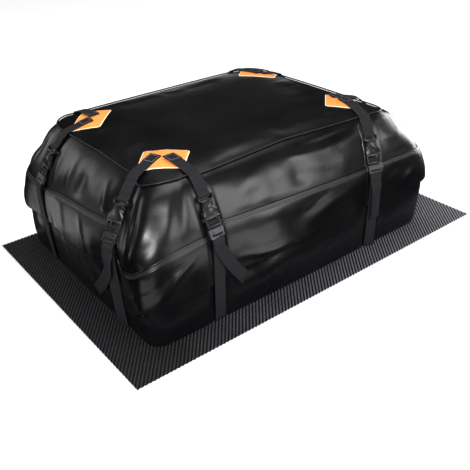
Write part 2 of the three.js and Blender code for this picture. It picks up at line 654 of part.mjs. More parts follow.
// Line down a strap: reach and height at a length from the tip, with a lift off the surface
class StrapLine {
  constructor(strap) {
    this.strap = strap;
    const side = SIDES[strap.side];
    const baseDepth = strapDepth(strap.side, bagFloor);
    const tip = place(side, strap.tipAlong, strap.tipDepth);
    const foot = place(side, strap.baseAlong, baseDepth);
    this.origin = tip;
    const run = Math.hypot(foot[0] - tip[0], foot[1] - tip[1]);
    this.outward = [(foot[0] - tip[0]) / run, (foot[1] - tip[1]) / run];
    this.sideways = [-this.outward[1], this.outward[0]];
    const under = [...bodyTriangles, ...flapTriangles, ...pipingTriangles];
    const points = this.sections(under, CREASE_HALF_WIDTH - 1)
      .concat(this.sections(patchTriangles, WEBBING_WIDTH / 2 + 1));
    const first = this.outline(points);
    const edge = this.edgeAt(first, strap.buckleHeight);
    const reach = (hardwareLength + KEEPER_TRAVEL) / 2;
    const ends = [-reach, reach].map((shift) => edge.map((v, k) => v + this.down[k] * shift));
    this.line = thinned(this.outline(points.concat(ends)), 0.1);
    this.lengths = [0];
    for (let i = 1; i < this.line.length; i += 1) {
      const step = Math.hypot(this.line[i][0] - this.line[i - 1][0], this.line[i][1] - this.line[i - 1][1]);
      this.lengths.push(this.lengths[i - 1] + step);
    }
    this.total = this.lengths[this.lengths.length - 1];
    this.buckleTop = this.lengthNear(ends[0]);
  }

  // Where the triangles pass through upright planes across the strap's width
  sections(triangles, half) {
    const points = [];
    for (const corners of triangles) {
      const local = corners.map(([x, y, z]) => {
        const dx = x - this.origin[0];
        const dy = y - this.origin[1];
        return [dx * this.outward[0] + dy * this.outward[1], dx * this.sideways[0] + dy * this.sideways[1], z];
      });
      local.forEach((p) => {
        if (Math.abs(p[1]) <= half) points.push([p[0], p[2]]);
      });
      for (let k = 0; k < 3; k += 1) {
        const [a, b] = [local[k], local[(k + 1) % 3]];
        for (let w = -half; w <= half + 0.01; w += half / 6) {
          if ((a[1] - w) * (b[1] - w) >= 0) continue;
          const t = (w - a[1]) / (b[1] - a[1]);
          points.push([a[0] + (b[0] - a[0]) * t, a[2] + (b[2] - a[2]) * t]);
        }
      }
    }
    return points.filter((p) => p[0] >= -PATCH_WIDTH);
  }

  // The part of the taut line from the strap's tip down to the base seam
  outline(points) {
    const line = tautLine(points).reverse();
    const start = line.findIndex((p) => p[0] > 0);
    const seamHeight = matTop + SEAM_ABOVE_MAT;
    const [c, d] = [line[start - 1], line[start]];
    const tip = [0, c[1] + ((d[1] - c[1]) * (0 - c[0])) / (d[0] - c[0])];
    const cut = line.findIndex((p, i) => i > start && p[1] <= seamHeight);
    const [a, b] = [line[cut - 1], line[cut]];
    const foot = [a[0] + ((b[0] - a[0]) * (a[1] - seamHeight)) / (a[1] - b[1]), seamHeight];
    return [tip, ...line.slice(start, cut), foot];
  }

  // Length down the line of the place nearest to a point
  lengthNear(point) {
    let best = [Infinity, 0];
    for (let i = 0; i < this.line.length - 1; i += 1) {
      const [a, b] = [this.line[i], this.line[i + 1]];
      const span = this.lengths[i + 1] - this.lengths[i];
      const along = ((point[0] - a[0]) * (b[0] - a[0]) + (point[1] - a[1]) * (b[1] - a[1])) / span;
      const held = Math.min(Math.max(along, 0), span);
      const gap = Math.hypot(a[0] + ((b[0] - a[0]) * held) / span - point[0],
        a[1] + ((b[1] - a[1]) * held) / span - point[1]);
      if (gap < best[0]) best = [gap, this.lengths[i] + held];
    }
    return best[1];
  }

  edgeAt(line, height) {
    const i = line.findIndex((p) => p[1] < height);
    const [a, b] = [line[i - 1], line[i]];
    const length = Math.hypot(b[0] - a[0], b[1] - a[1]);
    this.down = [(b[0] - a[0]) / length, (b[1] - a[1]) / length];
    const t = (a[1] - height) / (a[1] - b[1]);
    return [a[0] + (b[0] - a[0]) * t, height];
  }

  // Point and outward normal at a length down the line
  at(length, lift) {
    let i = this.lengths.findIndex((l) => l > length) - 1;
    if (i < 0) i = this.line.length - 2;
    const [a, b] = [this.line[i], this.line[i + 1]];
    const span = this.lengths[i + 1] - this.lengths[i];
    const t = (length - this.lengths[i]) / span;
    const direction = [(b[0] - a[0]) / span, (b[1] - a[1]) / span];
    const normal = [-direction[1], direction[0]];
    return {
      reach: a[0] + (b[0] - a[0]) * t + normal[0] * lift,
      height: a[1] + (b[1] - a[1]) * t + normal[1] * lift,
    };
  }

  world(reach, height) {
    const [x, y] = this.origin.map((from, k) => from + this.outward[k] * reach);
    return new THREE.Vector3(x, y, height);
  }

  point(length, lift) {
    const { reach, height } = this.at(length, lift);
    return this.world(reach, height);
  }

  get across() {
    return new THREE.Vector3(this.sideways[0], this.sideways[1], 0);
  }

  // Depth of the load webbing's front at a place across the face, or none beside the webbing
  frontAt(axis, place, height) {
    const sign = SIDES[this.strap.side].out[axis];
    const i = Math.max(this.line.findIndex((p) => p[1] < height), 1);
    const t = (this.line[i - 1][1] - height) / (this.line[i - 1][1] - this.line[i][1]);
    const { reach } = this.at(this.lengths[i - 1] + (this.lengths[i] - this.lengths[i - 1]) * Math.min(t, 1),
      WEBBING_GAP + WEBBING_THICKNESS);
    const middle = this.world(reach, height).toArray();
    const shift = (place - middle[1 - axis]) / this.sideways[1 - axis];
    if (Math.abs(shift) > WEBBING_WIDTH / 2 + 2) return -sign * Infinity;
    return middle[axis] + this.sideways[axis] * shift;
  }

  // Turn and place a piece of hardware that is drawn from the top of the buckle downwards
  seat(mesh) {
    const top = this.point(this.buckleTop, 0);
    const up = this.point(this.buckleTop + 1, 0).sub(this.point(this.buckleTop + 2, 0)).normalize();
    const lift = this.across.cross(up).normalize();
    mesh.position.copy(top);
    mesh.quaternion.setFromRotationMatrix(new THREE.Matrix4().makeBasis(this.across, up, lift));
  }
}

// Places down the hardware, from the top of the buckle
const mouth = BUCKLE_LENGTH;
const flangeEnd = mouth + 0.6 + FLANGE_LENGTH;
const barStart = flangeEnd + LADDER_SLOT;
const barEnd = barStart + LADDER_BAR;
const lockStart = barEnd + LADDER_SLOT;
const lockEnd = lockStart + LADDER_BAR;
const keeperStart = lockEnd + 1 + KEEPER_BELOW_PLUG;
const keeperEnd = keeperStart + KEEPER_LENGTH;
const hardwareLength = keeperEnd;

// Layers outwards from the strap's line
const halfWebbing = WEBBING_THICKNESS / 2;
const runCentre = WEBBING_GAP + halfWebbing;
const barBottom = runCentre + halfWebbing + 0.6;
const barTop = barBottom + BAR_THICKNESS;
const overBar = barTop + 0.4 + halfWebbing;
const keeperFloor = CLEARANCE + KEEPER_BACK;
const keptRun = keeperFloor + CLEARANCE + halfWebbing;
const keptTail = keptRun + WEBBING_THICKNESS + 0.4;
const keeperRoof = keptTail + halfWebbing + 0.4;
const underLock = runCentre + WEBBING_THICKNESS + 1;
const lockBottom = underLock + halfWebbing + 0.5;

// Buckle socket: side-release type, with a bar and slot for the webbing at its top
function socketGeometry() {
  const half = BUCKLE_WIDTH / 2;
  const waist = BUCKLE_WAIST / 2;
  const right = [[half - 5, 0], [half - 1, -4], [half - 1, -13], [waist + 1.5, -20], [waist, -24], [waist, -37],
    [half, -45], [half, -BUCKLE_LENGTH + 2], [half - 2, -BUCKLE_LENGTH]];
  const outline = right.concat(right.map(([x, y]) => [-x, y]).reverse());
  const inner = WEBBING_WIDTH / 2 + BAR_SIDE_GAP;
  const bottom = CLEARANCE + 0.3;
  const top = bottom + BUCKLE_THICKNESS;
  let solid = plate(outline.reverse(), bottom, top);
  solid = solid.subtract(block(-inner, inner, -BUCKLE_BAR - BUCKLE_SLOT, -BUCKLE_BAR, -1, top + 1));
  solid = solid.subtract(block(-inner, inner, -BUCKLE_BAR - 1, 1, barTop, top + 1));
  solid = solid.subtract(block(-inner, inner, -BUCKLE_BAR - 1, 1, -1, barBottom));
  const cavity = half - BUCKLE_WALL - 2.3;
  solid = solid.subtract(block(-cavity, cavity, -BUCKLE_LENGTH - 1, -mouth + PRONG_REACH + 3,
    bottom + BUCKLE_WALL, top - BUCKLE_WALL));
  return fromSolid(solid);
}

// Buckle plug: flange, two prongs and a guide, and a ladder that the webbing turns back through
function plugGeometry() {
  const half = BUCKLE_WIDTH / 2;
  const bottom = CLEARANCE + 0.3;
  const middle = bottom + BUCKLE_THICKNESS / 2;
  const low = middle - PRONG_THICKNESS / 2;
  const high = middle + PRONG_THICKNESS / 2;
  const tip = -mouth + PRONG_REACH;
  const pad = half - BUCKLE_WALL - 2.9;
  const root = -mouth - 1.2;
  const prong = [[9, root], [12.5, root], [13.2, tip - 21], [pad, tip - 19],
    [pad, tip - 14], [pad - 2.5, tip - 2.5],
    [pad - 5.5, tip], [pad - 8, tip - 1], [10.2, tip - 14]];
  let solid = plate(prong, low, high);
  solid = solid.add(plate(prong.map(([x, y]) => [-x, y]).reverse(), low, high));
  solid = solid.add(block(-2.6, 2.6, root, tip - 6, low + 1, high - 1));
  solid = solid.add(block(-half, half, -flangeEnd, -mouth - 0.6, bottom + 0.2, bottom + BUCKLE_THICKNESS - 0.2));
  const inner = WEBBING_WIDTH / 2 + BAR_SIDE_GAP;
  const railTop = lockBottom + BAR_THICKNESS;
  for (const sign of [-1, 1]) {
    const [x0, x1] = sign > 0 ? [inner, inner + LADDER_RAIL] : [-inner - LADDER_RAIL, -inner];
    solid = solid.add(block(x0, x1, -lockEnd - 1, -flangeEnd + 1, barBottom - 0.4, railTop));
  }
  const bar = inner + 1;
  solid = solid.add(block(-bar, bar, -barEnd, -barStart, barBottom, barTop));
  solid = solid.add(block(-bar, bar, -lockEnd, -lockStart, lockBottom, railTop));
  return fromSolid(solid);
}

// Keeper: a ribbed loop round the load strap and its tail
function keeperGeometry() {
  const half = KEEPER_WIDTH / 2;
  const top = keeperRoof + KEEPER_FRONT;
  const window = WEBBING_WIDTH / 2 + BAR_SIDE_GAP;
  let solid = block(-half, half, -keeperEnd, -keeperStart, CLEARANCE, top);
  solid = solid.subtract(block(-window, window, -keeperEnd - 1, -keeperStart + 1, keeperFloor, keeperRoof));
  const slot = [keeperStart + KEEPER_LENGTH * 0.56, keeperStart + KEEPER_LENGTH * 0.8];
  solid = solid.subtract(block(-window + 1.5, window - 1.5, -slot[1], -slot[0], keeperRoof - 1, top + 1));
  const ribs = 4;
  for (let i = 0; i < ribs; i += 1) {
    const y = -keeperStart - 2 - i * 3.2;
    solid = solid.add(block(-window, window, y - 1.4, y, top - 0.2, top + 0.7));
  }
  return fromSolid(solid);
}
const socket = socketGeometry();
const plug = plugGeometry();
const keeper = keeperGeometry();

// Ribbon with square edges through a list of centre points
function ribbon(centres, across) {
  const count = centres.length;
  const rows = centres.map((p, i) => {
    const before = centres[Math.max(i - 1, 0)];
    const after = centres[Math.min(i + 1, count - 1)];
    const into = p.clone().sub(before);
    const onward = after.clone().sub(p);
    const tangent = into.lengthSq() === 0 ? onward : into.normalize().add(onward.normalize());
    const width = (Array.isArray(across) ? across[i] : across).clone();
    tangent.normalize();
    width.addScaledVector(tangent, -width.dot(tangent)).normalize();
    const normal = width.clone().cross(tangent).normalize();
    const corner = (a, b) => p.clone()
      .addScaledVector(width, (a * WEBBING_WIDTH) / 2)
      .addScaledVector(normal, (b * WEBBING_THICKNESS) / 2)
      .toArray();
    return [corner(-1, -1), corner(1, -1), corner(1, 1), corner(-1, 1)];
  });
  const positions = rows.flat(2);
  const indices = [];
  for (let r = 0; r < count - 1; r += 1) {
    const [a, b] = [r * 4, r * 4 + 4];
    for (let c = 0; c < 4; c += 1) {
      const d = (c + 1) % 4;
      // Where the ribbon twists, its front and its back fold along the same diagonal
      if (c === 2) indices.push(a + c, b + c, a + d, b + c, b + d, a + d);
      else indices.push(a + c, b + c, b + d, a + c, b + d, a + d);
    }
  }
  const last = (count - 1) * 4;
  indices.push(0, 1, 2, 0, 2, 3, last, last + 2, last + 1, last, last + 3, last + 2);
  return indexed(positions, indices);
}

// Points on the line between two lengths, keeping every bend of the line
function along(line, from, to, lift) {
  const stops = line.lengths.filter((l) => l > Math.min(from, to) + 1.5 && l < Math.max(from, to) - 1.5);
  const lengths = [Math.min(from, to), ...stops, Math.max(from, to)];
  const points = lengths.map((l) => {
    const i = line.lengths.indexOf(l);
    if (i <= 0 || i >= line.line.length - 1) return line.point(l, lift);
    const before = line.at(l - 0.01, lift);
    const after = line.at(l + 0.01, lift);
    return line.world((before.reach + after.reach) / 2, (before.height + after.height) / 2);
  });
  return from < to ? points : points.reverse();
}

// Half turn of webbing round a bar, from the near side to the far side
function turnRound(line, barLength, barHeight, radius, way) {
  const steps = [-90, -35, 35, 90];
  return steps.map((degrees) => {
    const t = THREE.MathUtils.degToRad(degrees);
    return line.point(line.buckleTop + barLength + way * radius * Math.cos(t), barHeight + radius * Math.sin(t));
  });
}

function upperStrap(line) {
  const top = line.buckleTop;
  const radius = BAR_THICKNESS / 2 + 0.4 + halfWebbing;
  const centre = (barBottom + barTop) / 2;
  const aboveFold = runCentre + WEBBING_THICKNESS + 0.4;
  const points = along(line, 3, top - FOLD_BACK - 16, runCentre);
  points.push(...along(line, top - FOLD_BACK, top - 6, aboveFold));
  points.push(line.point(top - 1, overBar));
  points.push(...turnRound(line, BUCKLE_BAR - 0.5, centre, radius, 1).reverse());
  points.push(...along(line, top - 2, top - FOLD_BACK + 3, runCentre));
  return ribbon(points, line.across);
}

// The lower strap: sewn in at the base, up through the keeper, round the ladder bar and down as a tail
function lowerStrap(line) {
  const top = line.buckleTop;
  const radius = BAR_THICKNESS / 2 + 0.4 + halfWebbing;
  const centre = (barBottom + barTop) / 2;
  const points = along(line, line.total, top + keeperEnd + 14, runCentre);
  points.push(line.point(top + keeperEnd + 1, keptRun));
  points.push(line.point(top + keeperStart - 1, keptRun));
  points.push(line.point(top + lockEnd - 3, runCentre));
  points.push(line.point(top + barEnd, runCentre));
  points.push(...turnRound(line, barStart + 0.5, centre, radius, -1));
  points.push(line.point(top + barEnd + 0.6, overBar));
  points.push(line.point(top + lockStart - 1, underLock));
  points.push(line.point(top + lockEnd + 1, underLock));
  points.push(line.point(top + keeperStart - 1, keptTail));
  points.push(...along(line, top + keeperEnd + 1, top + keeperEnd + TAIL_START, keptTail));
  const across = points.map(() => line.across);
  const side = SIDES[line.strap.side];
  const level = new THREE.Vector3(side.along[0], side.along[1], 0);
  tailPoints(line).forEach((p, i) => {
    points.push(p);
    across.push(line.across.clone().lerp(level, Math.min((i + 1) / 2, 1)));
  });
  return ribbon(points, across);
}

// The loose tail hangs over whatever lies below it, drifting sideways as it goes
function tailPoints(line) {
  const { strap } = line;
  const side = SIDES[strap.side];
  const axis = strap.side % 2 === 0 ? 1 : 0;
  const sign = side.out[axis];
  const surfaces = [...bodyTriangles, ...flapTriangles];
  const drift = curve(strap.drift);
  const start = line.buckleTop + keeperEnd + TAIL_START;
  const steps = Math.max(4, Math.round(strap.tailLength / 28));
  const clear = WEBBING_GAP + halfWebbing;
  const list = [];
  for (let i = 0; i <= steps; i += 1) {
    const down = (i / steps) * strap.tailLength;
    const shift = drift(down);
    const fall = Math.sqrt(Math.max(down ** 2 - (shift * 0.8) ** 2, 0));
    const onStrap = line.at(Math.min(start + fall, line.total - 2), runCentre + WEBBING_THICKNESS + 0.6);
    const base = line.world(onStrap.reach, onStrap.height);
    const moved = [base.x + side.along[0] * shift, base.y + side.along[1] * shift];
    let depth = sign * moved[axis];
    if (Math.abs(shift) > WEBBING_WIDTH) depth = -Infinity;
    for (const w of [-24, -19, -12, 0, 12, 19, 24]) {
      for (const dz of [-24, -12, 0, 12, 24]) {
        const u = moved[1 - axis] + w;
        depth = Math.max(depth, reachAlong(surfaces, axis, sign, u, base.z + dz) + clear);
        depth = Math.max(depth, sign * line.frontAt(axis, u, base.z + dz) + clear);
      }
    }
    list.push({ across: moved[1 - axis], depth, height: base.z });
  }
  const inside = [list[0], list[steps]].map((p) => [0, p.height]);
  const hull = tautLine([...list.map((p) => [p.depth, p.height]), ...inside]);
  const depthAt = (height) => {
    const ordered = hull.filter((p) => p[0] > 1).sort((a, b) => a[1] - b[1]);
    const i = ordered.findIndex((p) => p[1] >= height - 1e-6);
    if (i <= 0) return ordered[Math.max(i, 0)][0];
    const [a, b] = [ordered[i - 1], ordered[i]];
    return a[0] + ((b[0] - a[0]) * (height - a[1])) / (b[1] - a[1]);
  };
  return list.slice(1).map((p) => {
    const depth = sign * Math.max(depthAt(p.height), p.depth);
    const [x, y] = axis === 1 ? [p.across, depth] : [depth, p.across];
    return new THREE.Vector3(x, y, p.height);
  });
}

for (const strap of STRAPS) {
  const line = new StrapLine(strap);
  add(`upper_strap_${strap.name}`, upperStrap(line), webbing());
  add(`lower_strap_${strap.name}`, lowerStrap(line), webbing());
  line.seat(add(`buckle_socket_${strap.name}`, socket, mouldedPlastic()));
  line.seat(add(`buckle_plug_${strap.name}`, plug, mouldedPlastic()));
  line.seat(add(`strap_keeper_${strap.name}`, keeper, mouldedPlastic()));
}

export default bag;
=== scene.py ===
"""Roof cargo bag: the detailed model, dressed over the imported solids.

A stuffed bag of coated fabric stands on its ribbed anti-slip mat. A storm flap covers the zip, four
patches carry the straps, and eight buckled straps hold the bag down. Tables and sizes are in
millimetres, and meshes are in metres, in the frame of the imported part: +X along the bag, +Z up.
"""
import logging
import math
from dataclasses import dataclass, field
from enum import Enum
from functools import cached_property
from typing import Callable, Iterable, Sequence

import bmesh
import bpy
import numpy as np
from mathutils import Matrix, Vector, noise
from mathutils.bvhtree import BVHTree


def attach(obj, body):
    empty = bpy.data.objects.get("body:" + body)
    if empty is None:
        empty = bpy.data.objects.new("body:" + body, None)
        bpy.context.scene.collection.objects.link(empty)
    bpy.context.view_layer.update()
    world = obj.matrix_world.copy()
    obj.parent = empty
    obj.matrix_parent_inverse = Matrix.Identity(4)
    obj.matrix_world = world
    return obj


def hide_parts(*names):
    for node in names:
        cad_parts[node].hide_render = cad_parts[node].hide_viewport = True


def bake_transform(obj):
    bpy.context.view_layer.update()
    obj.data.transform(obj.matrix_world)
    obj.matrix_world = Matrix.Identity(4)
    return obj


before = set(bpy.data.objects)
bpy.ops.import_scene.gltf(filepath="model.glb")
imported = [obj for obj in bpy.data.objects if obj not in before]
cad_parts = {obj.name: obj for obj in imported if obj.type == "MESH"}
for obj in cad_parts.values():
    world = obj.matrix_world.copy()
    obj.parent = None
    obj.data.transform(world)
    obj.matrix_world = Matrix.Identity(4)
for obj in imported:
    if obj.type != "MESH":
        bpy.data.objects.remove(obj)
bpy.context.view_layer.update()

log = logging.getLogger("roof_cargo_bag")

MM = 0.001
ROOT = "bag"
WEBBING_WIDTH = 38
TIP_LENGTH = 42
PATCH_X = 354
PATCH_Y = 217
PATCH_LENGTH = 138
PATCH_WIDTH = 102
RIB_ANGLE = 51.5
RIB_PITCH = 10
Array = np.ndarray
Socket = bpy.types.NodeSocket


# Curves and small mesh tools


class MonotoneCurve:
    """A smooth curve through a few (input, value) pairs that never overshoots them."""

    def __init__(self, pairs: Sequence[tuple[float, float]]) -> None:
        """Stores the pairs and works out the slope at each.

        Args:
            pairs: inputs in rising order, each with its value.
        """
        self.xs = np.array([p[0] for p in pairs], dtype=float)
        self.ys = np.array([p[1] for p in pairs], dtype=float)
        chords = np.diff(self.ys) / np.diff(self.xs)
        tangents = np.zeros(len(pairs))
        tangents[0], tangents[-1] = chords[0], chords[-1]
        for i in range(1, len(pairs) - 1):
            if chords[i - 1] * chords[i] > 0:
                tangents[i] = 2 * chords[i - 1] * chords[i] / (chords[i - 1] + chords[i])
        self.tangents = tangents

    def __call__(self, x: Array | float) -> Array:
        """Evaluates the curve.

        Args:
            x: one input or an array of inputs.

        Returns:
            The values, held level past both ends.
        """
        x = np.clip(np.asarray(x, dtype=float), self.xs[0], self.xs[-1])
        i = np.clip(np.searchsorted(self.xs, x, side="right") - 1, 0, len(self.xs) - 2)
        span = self.xs[i + 1] - self.xs[i]
        t = (x - self.xs[i]) / span
        value = (1 + 2 * t) * (1 - t) ** 2 * self.ys[i] + t * (1 - t) ** 2 * span * self.tangents[i]
        return value + t * t * (3 - 2 * t) * self.ys[i + 1] + t * t * (t - 1) * span * self.tangents[i + 1]


def smooth_step(x: Array | float, low: float, high: float) -> Array:
    """Rises smoothly from 0 at low to 1 at high.

    Args:
        x: where to evaluate.
        low: where the rise starts.
        high: where it ends.

    Returns:
        Values from 0 to 1.
    """
    t = np.clip((np.asarray(x, dtype=float) - low) / (high - low), 0, 1)
    return t * t * (3 - 2 * t)


def unit(vectors: Array) -> Array:
    """Scales each vector to length 1."""
    return vectors / np.maximum(np.linalg.norm(vectors, axis=-1, keepdims=True), 1e-9)


def run_lengths(points: Array) -> Array:
    """Length along a line at each of its points."""
    return np.concatenate([[0], np.cumsum(np.linalg.norm(np.diff(points, axis=0), axis=1))])


def linked_object(name: str, data: bpy.types.ID) -> bpy.types.Object:
    """Makes an object of a mesh, light or camera and links it to the scene.

    Args:
        name: the object's name.
        data: its data.

    Returns:
        The object.
    """
    obj = bpy.data.objects.new(name, data)
    bpy.context.scene.collection.objects.link(obj)
    return obj


def mesh_object(name: str, bm: bmesh.types.BMesh) -> bpy.types.Object:
    """Makes an object of a finished bmesh and frees it.

    Args:
        name: the object's name.
        bm: the bmesh.

    Returns:
        The object.
    """
    mesh = bpy.data.meshes.new(name)
    bm.to_mesh(mesh)
    bm.free()
    return linked_object(name, mesh)


def welded_node(node: str) -> bmesh.types.BMesh:
    """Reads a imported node's mesh with its corners joined.

    Args:
        node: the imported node's name.

    Returns:
        The mesh as a bmesh.
    """
    bm = bmesh.new()
    bm.from_mesh(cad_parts[node].data)
    bmesh.ops.remove_doubles(bm, verts=bm.verts, dist=2e-5)
    return bm


def new_mesh_object(name: str, points: Iterable[Sequence[float]], faces: Iterable[Sequence[int]],
                    smooth: bool = True) -> bpy.types.Object:
    """Makes a mesh object and links it to the scene.

    Args:
        name: the piece's name.
        points: vertices in millimetres.
        faces: vertex numbers of each face.
        smooth: whether the faces are shaded smooth.

    Returns:
        The new object, in metres.
    """
    mesh = bpy.data.meshes.new(name)
    scaled = (np.array(list(points), dtype=float) * MM).tolist()
    mesh.from_pydata(scaled, [], [list(f) for f in faces])
    mesh.validate()
    mesh.update()
    if smooth:
        mesh.shade_smooth()
    return linked_object(name, mesh)


def grid_faces(rows: int, columns: int, closed: bool) -> list[tuple[int, int, int, int]]:
    """Quads of a grid whose rows lie one after another.

    Args:
        rows: how many rows of points.
        columns: points in a row.
        closed: whether each row joins up into a ring.

    Returns:
        Quads that face outwards for counter-clockwise rows that rise.
    """
    faces = []
    for r in range(rows - 1):
        for c in range(columns if closed else columns - 1):
            d = (c + 1) % columns
            faces.append((r * columns + c, r * columns + d, (r + 1) * columns + d, (r + 1) * columns + c))
    return faces


def ring_object(name: str, grid: Array) -> bpy.types.Object:
    """Makes a closed band whose first and last rings join up.

    Args:
        name: the object's name.
        grid: rings by columns by 3.

    Returns:
        The band.
    """
    rows, columns = grid.shape[:2]
    last = (rows - 1) * columns
    faces = grid_faces(rows, columns, closed=True)
    faces += [(last + c, last + (c + 1) % columns, (c + 1) % columns, c) for c in range(columns)]
    band = new_mesh_object(name, grid.reshape(-1, 3), faces)
    face_outwards(band)
    return band


def set_uv(obj: bpy.types.Object, uv: Array) -> None:
    """Writes one UV pair per vertex, in metres, to every corner of the mesh.

    Args:
        obj: the mesh object.
        uv: an array with a row for each vertex.
    """
    layer = obj.data.uv_layers.new(name="cloth")
    corners = np.zeros(len(obj.data.loops), dtype=np.int32)
    obj.data.loops.foreach_get("vertex_index", corners)
    layer.data.foreach_set("uv", (uv[corners] * MM).astype(np.float32).ravel())


def face_outwards(obj: bpy.types.Object) -> None:
    """Turns every face of a closed mesh outwards."""
    bm = bmesh.new()
    bm.from_mesh(obj.data)
    bmesh.ops.recalc_face_normals(bm, faces=bm.faces)
    bm.to_mesh(obj.data)
    bm.free()


def vertex_array(obj: bpy.types.Object) -> Array:
    """Reads the vertices of a mesh object.

    Args:
        obj: the mesh object.

    Returns:
        Its vertices in millimetres.
    """
    flat = np.zeros(len(obj.data.vertices) * 3)
    obj.data.vertices.foreach_get("co", flat)
    return flat.reshape(-1, 3) / MM


def grid_normals(grid: Array) -> Array:
    """Outward normals of a closed ring grid.

    Args:
        grid: rows by columns by 3.

    Returns:
        Unit normals of the same shape.
    """
    across = np.roll(grid, -1, axis=1) - np.roll(grid, 1, axis=1)
    upward = np.gradient(grid, axis=0)
    return unit(np.cross(across, upward))


def midpoints(grid: Array, closed: bool) -> Array:
    """Doubles the rows of a grid with smooth points halfway between them.

    Args:
        grid: rows by columns by 3.
        closed: whether the last row joins up with the first.

    Returns:
        The finer grid.
    """
    if closed:
        wide = np.concatenate([grid[-1:], grid, grid[:2]])
    else:
        wide = np.concatenate([grid[:1] * 2 - grid[1:2], grid, grid[-1:] * 2 - grid[-2:-1]])
    half = (wide[1:-2] + wide[2:-1]) * 0.5625 - (wide[:-3] + wide[3:]) * 0.0625
    finer = np.empty((len(grid) + len(half), *grid.shape[1:]))
    finer[0::2] = grid
    finer[1::2] = half
    return finer


def refine(grid: Array, closed_rows: bool = False) -> Array:
    """Doubles a ring grid both ways.

    Args:
        grid: rings by columns by 3.
        closed_rows: whether the last ring joins up with the first.

    Returns:
        The finer grid.
    """
    rows = midpoints(grid, closed_rows)
    return midpoints(rows.swapaxes(0, 1), True).swapaxes(0, 1)


def apply_modifiers(obj: bpy.types.Object) -> None:
    """Applies every modifier of an object and keeps the resulting mesh.

    Args:
        obj: the mesh object.
    """
    graph = bpy.context.evaluated_depsgraph_get()
    solid = obj.evaluated_get(graph)
    mesh = bpy.data.meshes.new_from_object(solid, preserve_all_data_layers=True, depsgraph=graph)
    obj.modifiers.clear()
    old, obj.data = obj.data, mesh
    mesh.name = old.name
    bpy.data.meshes.remove(old)


def subdivide(obj: bpy.types.Object) -> None:
    """Splits every face once into a smoother surface.

    Args:
        obj: the mesh object.
    """
    modifier = obj.modifiers.new("subdivision", "SUBSURF")
    modifier.levels = modifier.render_levels = 1
    modifier.boundary_smooth = "PRESERVE_CORNERS"
    apply_modifiers(obj)
    obj.data.shade_smooth()


# The bag's form


class Side(Enum):
    """The four faces, counter-clockwise seen from above, each with its along and outward axes."""

    FRONT = ((1, 0), (0, -1))
    RIGHT = ((0, 1), (1, 0))
    BACK = ((-1, 0), (0, 1))
    LEFT = ((0, -1), (-1, 0))

    @property
    def along(self) -> Array:
        """The face's own axis, counter-clockwise."""
        return np.array(self.value[0], dtype=float)

    @property
    def out(self) -> Array:
        """The direction the face looks in."""
        return np.array(self.value[1], dtype=float)

    @property
    def next(self) -> "Side":
        """The face after this one, counter-clockwise."""
        order = list(Side)
        return order[(order.index(self) + 1) % 4]

    @property
    def previous(self) -> "Side":
        """The face before this one, counter-clockwise."""
        order = list(Side)
        return order[order.index(self) - 1]

    def place(self, along: Array, depth: Array) -> Array:
        """Plan position of a point given on this face.

        Args:
            along: distance along the face's axis.
            depth: distance outwards.

        Returns:
            Points with x and y.
        """
        along, depth = np.broadcast_arrays(np.asarray(along, float), np.asarray(depth, float))
        return along[..., None] * self.along + depth[..., None] * self.out


@dataclass(frozen=True)
class StrapPlan:
    """Where one strap runs: its sewn tip on top and its foot in the base seam."""

    name: str
    side: Side
    tip_along: float
    tip_depth: float
    base_along: float


STRAPS = (
    StrapPlan("front_left", Side.FRONT, -339, 217, -333),
    StrapPlan("front_right", Side.FRONT, 368, 212, 302),
    StrapPlan("right_front", Side.RIGHT, -165, 356, -240),
    StrapPlan("right_back", Side.RIGHT, 205, 356, 222),
    StrapPlan("back_right", Side.BACK, -358, 205, -318),
    StrapPlan("back_left", Side.BACK, 340, 217, 334),
    StrapPlan("left_back", Side.LEFT, -205, 356, -218),
    StrapPlan("left_front", Side.LEFT, 188, 356, 262),
)


class StationKind(Enum):
    """Where a column of the skin lies."""

    STRAP = "strap"
    PANEL = "panel"
    CORNER = "corner"


@dataclass(frozen=True)
class Station:
    """One upright column of the skin, between, beside or under the straps."""

    kind: StationKind
    side: Side
    share: float
    first: StrapPlan
    second: StrapPlan


